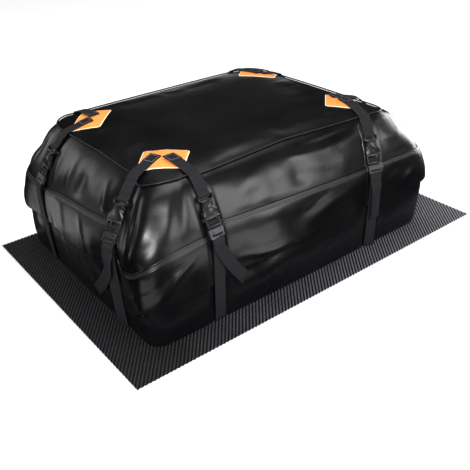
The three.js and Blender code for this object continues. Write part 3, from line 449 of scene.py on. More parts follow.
@dataclass
class BagForm:
    """The stuffed bag's outer form: outline at each height, and the heights of its seams."""

    floor: float = 4.3
    height: float = 466
    base_half_length: float = 562
    base_half_width: float = 427
    bellies: dict = field(default_factory=lambda: {
        Side.FRONT: 11, Side.RIGHT: 30, Side.BACK: 11, Side.LEFT: 13})
    belly_height: float = 205
    shoulder_end: float = 118
    shoulder_long: float = 77
    shoulder_height: float = 436
    crease_depth: float = 13
    crease_half_width: float = 27
    crease_flank: float = 13
    flank_fullness: float = 0.42
    panel_span: float = 620
    strap_columns: int = 5
    long_columns: int = 44
    end_columns: int = 32
    corner_columns: int = 28
    squareness: dict = field(default_factory=lambda: {
        Side.FRONT: 1.5, Side.RIGHT: 1.0, Side.BACK: 0.7, Side.LEFT: 0.9})
    flap_top: dict = field(default_factory=lambda: {
        Side.FRONT: ((323, 315, 305), (303, 296, 296)), Side.RIGHT: ((296, 300, 302), (302, 302, 304)),
        Side.BACK: ((304, 308, 306), (302, 294, 288)),
        Side.LEFT: ((283, 303, 313, 320, 330), (222, 248, 272, 291, 298))})
    flap_bottom: dict = field(default_factory=lambda: {
        Side.FRONT: ((150, 170, 172), (172, 180, 176)), Side.RIGHT: ((176, 170, 168), (168, 166, 168)),
        Side.BACK: ((168, 170, 168), (168, 162, 164)),
        Side.LEFT: ((166, 186, 178, 187, 199), (84, 130, 146, 150, 136))})
    seam_top: dict = field(default_factory=lambda: {
        Side.FRONT: ((442, 448, 442), (441, 436, 434)), Side.RIGHT: ((434, 437, 434), (434, 436, 441)),
        Side.BACK: ((441, 447, 441), (441, 436, 434)),
        Side.LEFT: ((434, 437, 434), (424, 434, 441, 444, 445))})
    zip_below_flap: float = 32
    zip_tape: float = 26
    channel_depth: float = 6
    channel_flank: float = 4

    def __post_init__(self) -> None:
        """Builds the curves that give each face's depth, the creases' depth and the corners' squareness."""
        self.depths = {side: self._depth_curve(side) for side in Side}
        flank, low = self.crease_flank / self.panel_span, self.flank_fullness
        self.fullness = MonotoneCurve([(0, 0), (flank, low), (0.2, 0.82), (0.4, 0.97), (0.6, 0.97),
                                       (0.8, 0.82), (1 - flank, low), (1, 0)])
        self.pressing = MonotoneCurve([(self.floor, 0.35), (60, 0.8), (self.belly_height, 1), (340, 0.9),
                                       (420, 0.35), (self.height, 0.1)])
        self.corner_power = MonotoneCurve([(self.floor, 7), (self.belly_height, 4.9), (320, 3.6), (385, 2.5),
                                           (self.shoulder_height, 2.1)])

    def _depth_curve(self, side: Side) -> MonotoneCurve:
        """Depth of one face from the floor to the top.

        Args:
            side: the face.

        Returns:
            The curve of its depth at each height.
        """
        is_long = side in (Side.FRONT, Side.BACK)
        base = self.base_half_width if is_long else self.base_half_length
        shoulder = self.shoulder_long if is_long else self.shoulder_end
        belly, lift = self.bellies[side], self.shoulder_height - self.belly_height
        return MonotoneCurve([
            (self.floor, base), (self.floor + 14, base + belly * 0.3),
            (self.belly_height * 0.5, base + belly * 0.78), (self.belly_height, base + belly),
            (self.belly_height + lift * 0.27, base + belly * 0.75 - shoulder * 0.02),
            (self.belly_height + lift * 0.5, base + belly * 0.25 - shoulder * 0.13),
            (self.belly_height + lift * 0.76, base - shoulder * 0.45),
            (self.shoulder_height, base - shoulder), (self.height, base - shoulder * 2.1)])

    def strap_at(self, plan: StrapPlan, z: Array) -> tuple[Array, Array]:
        """Where a strap's middle presses into its face.

        Args:
            plan: the strap.
            z: heights.

        Returns:
            Distance along the face and depth, at each height.
        """
        curve = self.depths[plan.side]
        depth = curve(z) - self.crease_depth * self.pressing(z)
        share = (depth - plan.tip_depth) / (curve(self.floor) - plan.tip_depth)
        return plan.tip_along + (plan.base_along - plan.tip_along) * share, depth

    def power_at(self, station: Station, z: Array) -> Array:
        """Squareness of a corner.

        Args:
            station: a corner column.
            z: heights.

        Returns:
            The exponent of its rounded outline.
        """
        return np.maximum(2, self.corner_power(z) * self.squareness[station.side])

    def turn_at(self, station: Station, z: Array) -> Array:
        """How far round its corner a column lies, in radians, on the outline's own parameter.

        Args:
            station: a corner column.
            z: heights.

        Returns:
            Angles from 0 to a right angle.
        """
        angle = station.share * math.pi / 2
        power = self.power_at(station, z) / 2
        return np.arctan2(math.sin(angle) ** power, math.cos(angle) ** power)

    def plan_xy(self, station: Station, z: Array) -> Array:
        """Plan position of a column at given heights.

        Args:
            station: the column.
            z: heights.

        Returns:
            Points with x and y.
        """
        press = self.crease_depth * self.pressing(z)
        along, depth = self.strap_at(station.first, z)
        if station.kind is StationKind.STRAP:
            return station.side.place(along + station.share * self.crease_half_width, depth)
        if station.kind is StationKind.PANEL:
            end, _ = self.strap_at(station.second, z)
            start = along + self.crease_half_width
            span = end - self.crease_half_width - start
            bulge = press * self.fullness(station.share)
            return station.side.place(start + span * station.share, depth + bulge)
        return self._corner_xy(station, z, press)

    def _corner_xy(self, station: Station, z: Array, press: Array) -> Array:
        """Plan position of a corner column.

        Args:
            station: the column.
            z: heights.
            press: how deep the creases are there.

        Returns:
            Points with x and y.
        """
        side, other = station.side, station.side.next
        reach = self.crease_half_width + self.crease_flank
        along, depth = self.strap_at(station.first, z)
        next_along, next_depth = self.strap_at(station.second, z)
        start = side.place(along + reach, depth + press * self.flank_fullness)
        end = other.place(next_along - reach, next_depth + press * self.flank_fullness)
        across = (end - start) @ side.along
        down = (start - end) @ side.out
        power, turn = self.power_at(station, z), self.turn_at(station, z)
        angle = station.share * math.pi / 2
        radius = (math.cos(angle) ** power + math.sin(angle) ** power) ** (-1 / power)
        swell = press * 0.5 * np.sin(turn * 2)
        u = across * radius * math.sin(angle) + swell * np.sin(turn)
        v = down * radius * math.cos(angle) + swell * np.cos(turn)
        return side.place(start @ side.along + u, end @ side.out + v)

    def height_of(self, table: dict, station: Station) -> float:
        """Height of a seam or edge at a column.

        Args:
            table: evenly spaced heights across each face and round the corner after it.
            station: the column.

        Returns:
            The height.
        """
        panel, corner = table[station.side]
        if station.kind is StationKind.STRAP:
            ends = (table[station.side.previous][1][-1], panel[0])
            if station.first.base_along > 0:
                ends = (panel[-1], corner[0])
            return float(ends[0] + (ends[1] - ends[0]) * smooth_step(station.share, -1, 1))
        if station.kind is StationKind.PANEL:
            return float(np.interp(station.share, np.linspace(0, 1, len(panel)), panel))
        height = corner[0]
        for _ in range(5):
            share = float(self.turn_at(station, np.array(height))) / (math.pi / 2)
            height = float(np.interp(share, np.linspace(0, 1, len(corner)), corner))
        return height

    def stations(self) -> list[Station]:
        """Columns all the way round the bag.

        Returns:
            The columns, counter-clockwise from the front left strap.
        """
        columns: list[Station] = []
        for side in Side:
            first, second = sorted((s for s in STRAPS if s.side is side), key=lambda s: s.base_along)
            following = min((s for s in STRAPS if s.side is side.next), key=lambda s: s.base_along)
            panel = self.long_columns if side in (Side.FRONT, Side.BACK) else self.end_columns
            edge = self.crease_flank / self.panel_span
            near = [edge * 0.5, edge, edge * 2.2]
            across = near + list(np.linspace(0.07, 0.93, panel)) + [1 - share for share in reversed(near)]
            under = np.linspace(-1, 1, self.strap_columns)
            runs = ((StationKind.STRAP, under, first, first),
                    (StationKind.PANEL, across, first, second),
                    (StationKind.STRAP, under, second, second),
                    (StationKind.CORNER, np.linspace(0, 1, self.corner_columns), second, following))
            for kind, shares, start, end in runs:
                columns += [Station(kind, side, float(share), start, end) for share in shares]
        return columns

    def level(self, stations: Sequence[Station], heights: Sequence[float], offset: float = 0) -> Array:
        """One ring of the skin.

        Args:
            stations: the columns.
            heights: the ring's height at each column.
            offset: how far outside the skin the ring lies.

        Returns:
            Points with x, y and z.
        """
        plan = np.array([self.plan_xy(s, np.array(float(h))) for s, h in zip(stations, heights)])
        ring = np.column_stack([plan, np.asarray(heights, float)])
        if offset:
            tangent = unit(np.roll(plan, -1, axis=0) - np.roll(plan, 1, axis=0))
            ring[:, 0] += tangent[:, 1] * offset
            ring[:, 1] -= tangent[:, 0] * offset
        return ring

    def crown(self, seam: Array, scale: float) -> Array:
        """One ring of the domed top.

        Args:
            seam: the ring of the top seam.
            scale: 1 at the seam and 0 in the middle.

        Returns:
            Points with x, y and z.
        """
        drop = self.height - seam[:, 2]
        z = self.height - drop * scale ** (2 + drop * 0.11)
        return np.column_stack([seam[:, 0] * scale, seam[:, 1] * scale, z])


# Folds


@dataclass(frozen=True)
class Fold:
    """A soft ridge or hollow in the fabric, along a line through a few points."""

    path: tuple[tuple[float, float, float], ...]
    width: float
    rise: float

    def lift(self, points: Array) -> Array:
        """How far the fold lifts each point.

        Args:
            points: vertices in millimetres.

        Returns:
            Lift in millimetres, negative for a hollow.
        """
        path = np.array(self.path, float)
        lengths = run_lengths(path)
        nearest = np.full(points.shape[:-1], np.inf)
        where = np.zeros(points.shape[:-1])
        for k, (a, b) in enumerate(zip(path[:-1], path[1:])):
            axis = b - a
            t = np.clip((points - a) @ axis / (axis @ axis), 0, 1)
            gap = np.linalg.norm(points - (a + t[..., None] * axis), axis=-1)
            closer = gap < nearest
            nearest = np.where(closer, gap, nearest)
            where = np.where(closer, (lengths[k] + t * (lengths[k + 1] - lengths[k])) / lengths[-1], where)
        fade = 0.3 + 0.7 * np.sin(np.pi * where) ** 0.7
        return self.rise * np.exp(-((nearest / self.width) ** 2)) * fade


def rumple(points: Array, scale: float, seed: float, octaves: int) -> Array:
    """Smooth uneven relief, the same on every run.

    Args:
        points: vertices in millimetres.
        scale: size of the largest lumps in millimetres.
        seed: shifts the pattern.
        octaves: how many finer layers are added.

    Returns:
        Values of about -1 to 1.
    """
    flat = points.reshape(-1, 3) / scale + seed
    values = [noise.fractal(Vector(p), 1.0, 2.0, octaves, noise_basis="PERLIN_ORIGINAL") for p in flat]
    return np.array(values).reshape(points.shape[:-1])


# Shader building


class ShaderGraph:
    """Adds and joins nodes in one node tree."""

    def __init__(self, tree: bpy.types.NodeTree) -> None:
        """Keeps the tree, a material's or a group's."""
        self.tree = tree

    @cached_property
    def place(self) -> Socket:
        """The piece's own coordinates, in metres."""
        return self.add("ShaderNodeTexCoord").outputs["Object"]

    @cached_property
    def cloth(self) -> tuple[Socket, Socket]:
        """The two distances of the piece's cloth map, in metres."""
        uv = self.split(self.add("ShaderNodeUVMap", uv_map="cloth").outputs[0])
        return uv["X"], uv["Y"]

    def feed(self, socket: Socket, value: object) -> None:
        """Links an output to a socket, or sets a constant on it.

        Args:
            socket: the input socket.
            value: an output or a constant.
        """
        if isinstance(value, Socket):
            self.tree.links.new(value, socket)
        else:
            socket.default_value = value

    def add(self, kind: str, inputs: dict | None = None, **settings: object) -> bpy.types.Node:
        """Adds a node.

        Args:
            kind: the node's type name.
            inputs: socket name or number, with a value or an output to link.
            settings: the node's own properties.

        Returns:
            The node.
        """
        node = self.tree.nodes.new(kind)
        for key, value in settings.items():
            setattr(node, key, value)
        for key, value in (inputs or {}).items():
            self.feed(node.inputs[key], value)
        return node

    def calc(self, operation: str, *values: object, clamp: bool = False) -> Socket:
        """Adds a Math node.

        Args:
            operation: the operation's name.
            values: its inputs, as numbers or outputs.
            clamp: whether the result is kept between 0 and 1.

        Returns:
            The result.
        """
        node = self.add("ShaderNodeMath", dict(enumerate(values)), operation=operation, use_clamp=clamp)
        return node.outputs[0]

    def gap(self, first: object, second: object) -> Socket:
        """The distance between two values."""
        return self.calc("ABSOLUTE", self.calc("SUBTRACT", first, second))

    def split(self, vector: Socket) -> dict:
        """The outputs X, Y and Z of a vector."""
        return self.add("ShaderNodeSeparateXYZ", {0: vector}).outputs

    def blend(self, share: object, low: object, high: object) -> Socket:
        """Mixes two colours.

        Args:
            share: how much of the second colour.
            low: the first colour.
            high: the second colour.

        Returns:
            The mixed colour.
        """
        return self.add("ShaderNodeMix", {0: share, 6: low, 7: high}, data_type="RGBA").outputs[2]

    def span(self, value: object, low: float, high: float, to_low: float, to_high: float) -> Socket:
        """Maps one range of values to another.

        Args:
            value: the input.
            low: the input's start.
            high: the input's end.
            to_low: the result at the start.
            to_high: the result at the end.

        Returns:
            The mapped value, kept inside the range.
        """
        inputs = {"Value": value, "From Min": low, "From Max": high, "To Min": to_low, "To Max": to_high}
        return self.add("ShaderNodeMapRange", inputs).outputs["Result"]

    def noise(self, scale: object, detail: float, roughness: float = 0.5,
              distortion: float = 0.0) -> Socket:
        """Adds layered noise over the piece's own coordinates.

        Args:
            scale: how fine the noise is.
            detail: how many finer layers it has.
            roughness: how strong the finer layers are.
            distortion: how far it is warped.

        Returns:
            The noise, from 0 to 1.
        """
        inputs = {"Vector": self.place, "Scale": scale, "Detail": detail, "Roughness": roughness,
                  "Distortion": distortion}
        return self.add("ShaderNodeTexNoise", inputs).outputs["Fac"]

    def cells(self, scale: object, feature: str = "F1") -> Socket:
        """Adds small cells over the piece's own coordinates.

        Args:
            scale: how fine the cells are.
            feature: how the distance inside a cell is measured.

        Returns:
            The distance from a cell's middle.
        """
        inputs = {"Vector": self.place, "Scale": scale}
        return self.add("ShaderNodeTexVoronoi", inputs, feature=feature).outputs["Distance"]

    def bump(self, height: Socket, depth: float, strength: float = 1.0) -> Socket:
        """Turns a height into a normal.

        Args:
            height: relief from 0 to 1.
            depth: the relief's real depth in metres.
            strength: how much of it shows.

        Returns:
            The normal.
        """
        inputs = {"Height": height, "Distance": depth, "Strength": strength}
        return self.add("ShaderNodeBump", inputs).outputs["Normal"]

    def by_ray(self, kind: str, others: Socket, chosen: Socket) -> Socket:
        """Gives one kind of ray a shader of its own.

        Args:
            kind: the Light Path output of that kind.
            others: the shader for all other rays.
            chosen: the shader for this kind.

        Returns:
            The combined shader.
        """
        ray = self.add("ShaderNodeLightPath").outputs[kind]
        return self.add("ShaderNodeMixShader", {0: ray, 1: others, 2: chosen}).outputs[0]


@dataclass
class SharedEffect:
    """A shader effect that several finishes use, kept as one node group."""

    name: str
    inputs: tuple[tuple[str, float], ...]
    outputs: tuple[str, ...]
    build: Callable[[ShaderGraph, dict, dict], None]
    tree: bpy.types.NodeTree | None = None

    def group(self) -> bpy.types.NodeTree:
        """Builds the node group once.

        Returns:
            The group's tree.
        """
        if self.tree is None:
            tree = bpy.data.node_groups.new(self.name, "ShaderNodeTree")
            for name, value in self.inputs:
                socket = tree.interface.new_socket(name, in_out="INPUT", socket_type="NodeSocketFloat")
                socket.default_value = value
            for name in self.outputs:
                tree.interface.new_socket(name, in_out="OUTPUT", socket_type="NodeSocketFloat")
            graph = ShaderGraph(tree)
            start = graph.add("NodeGroupInput")
            end = graph.add("NodeGroupOutput")
            self.build(graph, start.outputs, end.inputs)
            self.tree = tree
        return self.tree

    def place(self, graph: ShaderGraph, **values: object) -> dict:
        """Puts the effect in a material.

        Args:
            graph: the material's graph.
            values: the group's inputs, with spaces in their names written as underscores.

        Returns:
            The group node's outputs.
        """
        inputs = {key.replace("_", " "): value for key, value in values.items()}
        return graph.add("ShaderNodeGroup", inputs, node_tree=self.group()).outputs


def _coating_grain(graph: ShaderGraph, start: dict, end: dict) -> None:
    """Fine pebbled relief of a coated fabric, over broad uneven gloss.

    Args:
        graph: the group's graph.
        start: the group's inputs.
        end: the group's outputs.
    """
    pebble = graph.cells(start["Scale"], "SMOOTH_F1")
    ridge = graph.gap(graph.noise(start["Crease Scale"], 5.0, 0.55, 0.6), 0.5)
    creases = graph.calc("MULTIPLY", graph.span(ridge, 0.0, 0.16, 0.0, 1.0), start["Crease"])
    graph.feed(end["Height"], graph.calc("MULTIPLY_ADD", pebble, start["Pebble"], creases))
    graph.feed(end["Smear"], graph.span(graph.noise(4.5, 3.0, 0.6), 0.34, 0.68, 0.0, 1.0))


def _dust(graph: ShaderGraph, start: dict, end: dict) -> None:
    """Pale dust that lies on upward faces and in specks.

    Args:
        graph: the group's graph.
        start: the group's inputs.
        end: the group's outputs.
    """
    upward = graph.split(graph.add("ShaderNodeNewGeometry").outputs["Normal"])["Z"]
    specks = graph.span(graph.noise(start["Scale"], 6.0, 0.7), 0.48, 0.76, 0.0, 1.0)
    mask = graph.calc("MULTIPLY", specks, graph.span(upward, 0.2, 1.0, 0.25, 1.0))
    graph.feed(end["Mask"], graph.calc("MULTIPLY", mask, start["Amount"], clamp=True))


def _weave(graph: ShaderGraph, start: dict, end: dict) -> None:
    """Flat woven webbing: warp ribs along it and herringbone picks across it.

    Args:
        graph: the group's graph.
        start: the group's inputs.
        end: the group's outputs.
    """
    across, along = graph.cloth
    warp = graph.calc("PINGPONG", graph.calc("DIVIDE", across, start["Warp Pitch"]), 1.0)
    chevron = graph.calc("PINGPONG", graph.calc("DIVIDE", across, start["Chevron"]), 1.0)
    slant = graph.calc("MULTIPLY", chevron, start["Slant"])
    picks = graph.calc("ADD", graph.calc("DIVIDE", along, start["Pick Pitch"]), slant)
    pick = graph.calc("POWER", graph.calc("PINGPONG", picks, 1.0), 0.7)
    height = graph.calc("MULTIPLY", pick, graph.span(warp, 0.0, 0.6, 0.45, 1.0))
    graph.feed(end["Height"], graph.calc("MULTIPLY_ADD", graph.noise(420.0, 3.0), 0.25, height))
    # The Mask follows the weave's height and is used to paint shade into its hollows.
    graph.feed(end["Mask"], graph.span(height, 0.1, 0.9, 0.0, 1.0))


def _stitches(graph: ShaderGraph, start: dict, end: dict) -> None:
    """A row of stitches that lies at one distance along the cloth's second axis.

    Args:
        graph: the group's graph.
        start: the group's inputs.
        end: the group's outputs.
    """
    gap = graph.gap(start["Distance"], start["Row"])
    beat = graph.calc("FRACT", graph.calc("DIVIDE", start["Along"], start["Pitch"]))
    dash = graph.span(graph.gap(beat, 0.5), 0.3, 0.4, 1.0, 0.0)
    thread = graph.calc("MULTIPLY", dash, graph.span(gap, 0.0004, 0.0008, 1.0, 0.0))
    groove = graph.span(gap, 0.0004, 0.0022, 1.0, 0.0)
    graph.feed(end["Thread"], thread)
    graph.feed(end["Height"], graph.calc("SUBTRACT", thread, groove))


COATING_GRAIN = SharedEffect("coating_grain", (("Scale", 900.0), ("Crease Scale", 28.0), ("Pebble", 0.35),
                                               ("Crease", 0.5)), ("Height", "Smear"), _coating_grain)
DUST = SharedEffect("dust", (("Scale", 60.0), ("Amount", 0.3)), ("Mask",), _dust)
WEAVE = SharedEffect("weave", (("Warp Pitch", 0.0013), ("Pick Pitch", 0.0011), ("Chevron", 0.0095),
                               ("Slant", 3.4)), ("Height", "Mask"), _weave)
STITCHES = SharedEffect("stitches", (("Along", 0.0), ("Distance", 0.0), ("Row", 0.0), ("Pitch", 0.004)),
                        ("Thread", "Height"), _stitches)

Colour = tuple[float, float, float, float]


def srgb(red: int, green: int, blue: int) -> Colour:
    """Turns a screen colour into linear values.

    Args:
        red: 0 to 255.
        green: 0 to 255.
        blue: 0 to 255.

    Returns:
        Linear red, green and blue with an alpha of 1.
    """
    values = [c / 255 for c in (red, green, blue)]
    linear = [v / 12.92 if v <= 0.04045 else ((v + 0.055) / 1.055) ** 2.4 for v in values]
    return (*linear, 1.0)


def darker(colour: Colour, share: float) -> Colour:
    """The colour with a share of its light left."""
    return tuple(c * share for c in colour[:3]) + (1.0,)


@dataclass(frozen=True)
class Finish:
    """One material of the bag. Each kind of it says how it looks."""

    name: str
    colour: Colour

    def material(self) -> bpy.types.Material:
        """Builds the material.

        Returns:
            The finished material.
        """
        material = bpy.data.materials.new(self.name)
        material.use_nodes = True
        graph = ShaderGraph(material.node_tree)
        shader = next(n for n in material.node_tree.nodes if n.type == "BSDF_PRINCIPLED")
        for name, value in self.look(graph).items():
            graph.feed(shader.inputs[name], value)
        return material

    def look(self, graph: ShaderGraph) -> dict[str, object]:
        """What goes into the Principled shader: just the colour, unless the kind says more."""
        return {"Base Color": self.colour}


class SewnRows(Enum):
    """Which stitch rows a coated fabric carries, as distances from its edge in metres."""

    NONE = ()
    FLAP = (0.006, 0.011)


@dataclass(frozen=True)
class CoatedFabric(Finish):
    """Supple fabric with a soft-gloss waterproof coating."""

    bloom: Colour
    roughness: float = 0.3
    pebble_scale: float = 900.0
    dust: float = 0.012
    rows: SewnRows = SewnRows.NONE

    def look(self, graph: ShaderGraph) -> dict[str, object]:
        """Grain, uneven gloss and a trace of dust, with the stitch rows.

        Args:
            graph: the material's graph.

        Returns:
            The shader's inputs.
        """
        grain = COATING_GRAIN.place(graph, Scale=self.pebble_scale)
        dust = DUST.place(graph, Amount=self.dust)["Mask"]
        base = graph.blend(graph.span(grain["Smear"], 0, 1, 0.0, 0.55), self.colour, self.bloom)
        base = graph.blend(dust, base, srgb(96, 94, 92))
        rough = graph.span(grain["Smear"], 0, 1, self.roughness - 0.035, self.roughness + 0.055)
        height = grain["Height"]
        for row in self.rows.value:
            sewn = STITCHES.place(graph, Along=graph.cloth[0], Distance=graph.cloth[1], Row=row)
            base = graph.blend(sewn["Thread"], base, srgb(52, 52, 56))
            height = graph.calc("MULTIPLY_ADD", sewn["Height"], 2.5, height)
        return {"Base Color": base, "Roughness": graph.calc("MULTIPLY_ADD", dust, 0.3, rough),
                "Specular IOR Level": 0.5, "Normal": graph.bump(height, 0.00012)}


@dataclass(frozen=True)
class Webbing(Finish):
    """Flat woven polypropylene webbing, with a box stitch near one end where it has one."""

    thread: Colour
    box: tuple[float, float] | None = None
    box_half_width: float = 0.0146
    box_margin: float = 0.0006

    def look(self, graph: ShaderGraph) -> dict[str, object]:
        """Woven relief, with painted shade in the weave's hollows, and dust.

        Args:
            graph: the material's graph.

        Returns:
            The shader's inputs.
        """
        weave = WEAVE.place(graph)
        dust = DUST.place(graph, Amount=0.05, Scale=90.0)["Mask"]
        # Painted shade: the weave's low parts keep 45% of the colour.
        base = graph.blend(weave["Mask"], darker(self.colour, 0.45), self.colour)
        base, height = graph.blend(dust, base, srgb(112, 110, 108)), weave["Height"]
        if self.box:
            base, height = self._box_stitch(graph, base, height)
        return {"Base Color": base, "Roughness": 0.72, "Specular IOR Level": 0.22,
                "Normal": graph.bump(height, 0.00035)}

    def _box_stitch(self, graph: ShaderGraph, base: Socket,
                    height: Socket) -> tuple[Socket, Socket]:
        """Adds the square of stitches that sews the webbing down.

        Args:
            graph: the material's graph.
            base: the colour so far.
            height: the relief so far.

        Returns:
            The colour and the relief with the stitches.
        """
        (across, along), (low, high) = graph.cloth, self.box
        half, margin = self.box_half_width, self.box_margin
        inside_along = graph.calc("MULTIPLY", graph.calc("GREATER_THAN", along, low - margin),
                                  graph.calc("LESS_THAN", along, high + margin))
        inside_across = graph.calc("LESS_THAN", graph.calc("ABSOLUTE", across), half + margin)
        sides = ((along, across, half, inside_along), (along, across, -half, inside_along),
                 (across, along, low, inside_across), (across, along, high, inside_across))
        for run, distance, row, inside in sides:
            sewn = STITCHES.place(graph, Along=run, Distance=distance, Row=row, Pitch=0.0034)
            base = graph.blend(graph.calc("MULTIPLY", sewn["Thread"], inside), base, self.thread)
            height = graph.calc("MULTIPLY_ADD", graph.calc("MULTIPLY", sewn["Height"], inside), 1.2, height)
        return base, height


@dataclass(frozen=True)
class MouldedPlastic(Finish):
    """Satin injection-moulded plastic with a fine spark texture and rubbed edges."""

    roughness: float = 0.3

    def look(self, graph: ShaderGraph) -> dict[str, object]:
        """Spark texture, edges rubbed paler and dust.

        Args:
            graph: the material's graph.

        Returns:
            The shader's inputs.
        """
        rub = graph.noise(130.0, 4.0, 0.65)
        edge = graph.span(graph.add("ShaderNodeNewGeometry").outputs["Pointiness"], 0.52, 0.6, 0.0, 1.0)
        wear_and_painted_light = graph.calc("MULTIPLY", edge, graph.span(rub, 0.35, 0.65, 0.3, 1.0))
        base = graph.blend(graph.calc("MULTIPLY", wear_and_painted_light, 0.5), self.colour, srgb(88, 88, 94))
        base = graph.blend(DUST.place(graph, Amount=0.12, Scale=180.0)["Mask"], base, srgb(104, 102, 100))
        return {"Base Color": base,
                "Roughness": graph.span(rub, 0.3, 0.7, self.roughness - 0.05, self.roughness + 0.12),
                "Normal": graph.bump(graph.noise(1400.0, 2.0), 0.00005, 0.8)}


@dataclass(frozen=True)
class PatchFabric(Finish):
    """Bright coated patch fabric with a pale welded margin."""

    margin: Colour
    half_length: float
    half_width: float

    def look(self, graph: ShaderGraph) -> dict[str, object]:
        """Coated grain inside a margin whose inner line wanders a little.

        Args:
            graph: the material's graph.

        Returns:
            The shader's inputs.
        """
        grain = COATING_GRAIN.place(graph, Scale=700.0, Crease_Scale=40.0)
        insets = [graph.calc("SUBTRACT", half * MM, graph.calc("ABSOLUTE", distance))
                  for half, distance in zip((self.half_length, self.half_width), graph.cloth)]
        inset = graph.calc("MULTIPLY_ADD", graph.noise(70.0, 2.0), -0.0016, graph.calc("MINIMUM", *insets))
        base = graph.blend(grain["Smear"], self.colour, darker(self.colour, 0.82))
        base = graph.blend(graph.span(inset, 0.0012, 0.0026, 1.0, 0.0), base, self.margin)
        base = graph.blend(DUST.place(graph, Amount=0.12)["Mask"], base, srgb(190, 176, 158))
        groove = graph.span(graph.gap(inset, 0.0034), 0.0, 0.0012, 1.0, 0.0)
        return {"Base Color": base, "Roughness": 0.55,
                "Normal": graph.bump(graph.calc("SUBTRACT", grain["Height"], groove), 0.0002)}


@dataclass(frozen=True)
class RibbedFoam(Finish):
    """Anti-slip mat foam, whose ribs carry rows of pale dots between dark gaps."""

    dot: Colour
    angle: float
    rib_pitch: float
    dot_pitch: float = 0.0062

    def look(self, graph: ShaderGraph) -> dict[str, object]:
        """Dots along each rib's crest, staggered from rib to rib, with painted light making them paler to the
        right.

        Args:
            graph: the material's graph.

        Returns:
            The shader's inputs.
        """
        turn = {"Vector": graph.place, "Rotation": (0, 0, -math.radians(self.angle))}
        ribs = graph.split(graph.add("ShaderNodeMapping", turn).outputs[0])
        own = graph.split(graph.place)
        lane = graph.calc("FLOOR", graph.calc("DIVIDE", ribs["Y"], self.rib_pitch * MM))
        stagger = graph.calc("MULTIPLY", graph.calc("FLOORED_MODULO", lane, 2.0), 0.5)
        run = graph.calc("DIVIDE", ribs["X"], self.dot_pitch)
        beat = graph.calc("FRACT", graph.calc("ADD", run, stagger))
        dots = graph.span(graph.gap(beat, 0.5), 0.26, 0.38, 1.0, 0.0)
        crest = graph.span(own["Z"], 0.0026, 0.0036, 0.0, 1.0)
        # Painted light: a noisy ramp along X makes the dots paler to the right.
        reach = graph.calc("MULTIPLY_ADD", graph.noise(9.0, 5.0, 0.62), 0.5, own["X"])
        wear_and_painted_light = graph.span(reach, -0.3, 1.2, 0.045, 0.5)
        mask = graph.calc("MULTIPLY", graph.calc("MULTIPLY", dots, crest), wear_and_painted_light)
        base = graph.blend(mask, self.colour, self.dot)
        base = graph.blend(DUST.place(graph, Amount=0.03, Scale=40.0)["Mask"], base, srgb(120, 118, 120))
        relief = graph.calc("MULTIPLY_ADD", graph.cells(1100.0), 0.2, dots)
        return {"Base Color": base, "Roughness": graph.span(mask, 0.0, 1.0, 0.85, 0.52),
                "Specular IOR Level": 0.12, "Normal": graph.bump(relief, 0.0006)}


@dataclass(frozen=True)
class PaleFoamEdge(Finish):
    """The mat's cut edge, where its paler foam shows."""

    def look(self, graph: ShaderGraph) -> dict[str, object]:
        """Open foam cells, darker in their middles.

        Args:
            graph: the material's graph.

        Returns:
            The shader's inputs.
        """
        cells = graph.cells(700.0)
        base = graph.blend(graph.span(cells, 0.0, 0.8, 0.0, 1.0), srgb(150, 150, 154), self.colour)
        return {"Base Color": base, "Roughness": 0.85, "Normal": graph.bump(cells, 0.0003)}


@dataclass(frozen=True)
class ZipTape(Finish):
    """Woven zip tape with a toothed ridge along its middle."""

    def look(self, graph: ShaderGraph) -> dict[str, object]:
        """Bands for the teeth, and fuzz.

        Args:
            graph: the material's graph.

        Returns:
            The shader's inputs.
        """
        wave = {"Vector": graph.place, "Scale": 160.0}
        teeth = graph.add("ShaderNodeTexWave", wave, bands_direction="DIAGONAL").outputs["Fac"]
        return {"Base Color": graph.blend(teeth, darker(self.colour, 0.5), self.colour),
                "Roughness": graph.span(graph.noise(900.0, 3.0), 0.3, 0.7, 0.5, 0.75),
                "Normal": graph.bump(teeth, 0.0004)}


@dataclass(frozen=True)
class DieCastMetal(Finish):
    """Dark plated die-cast metal of the zip sliders."""

    def look(self, graph: ShaderGraph) -> dict[str, object]:
        """Plating that is rubbed brighter in places.

        Args:
            graph: the material's graph.

        Returns:
            The shader's inputs.
        """
        rub = graph.noise(240.0, 5.0, 0.7)
        base = graph.blend(graph.span(rub, 0.45, 0.7, 0.0, 0.6), self.colour, srgb(150, 150, 156))
        return {"Base Color": base, "Metallic": 1.0, "Roughness": graph.span(rub, 0.3, 0.7, 0.25, 0.45),
                "Normal": graph.bump(rub, 0.00005)}


# The stuffed bag and its flap


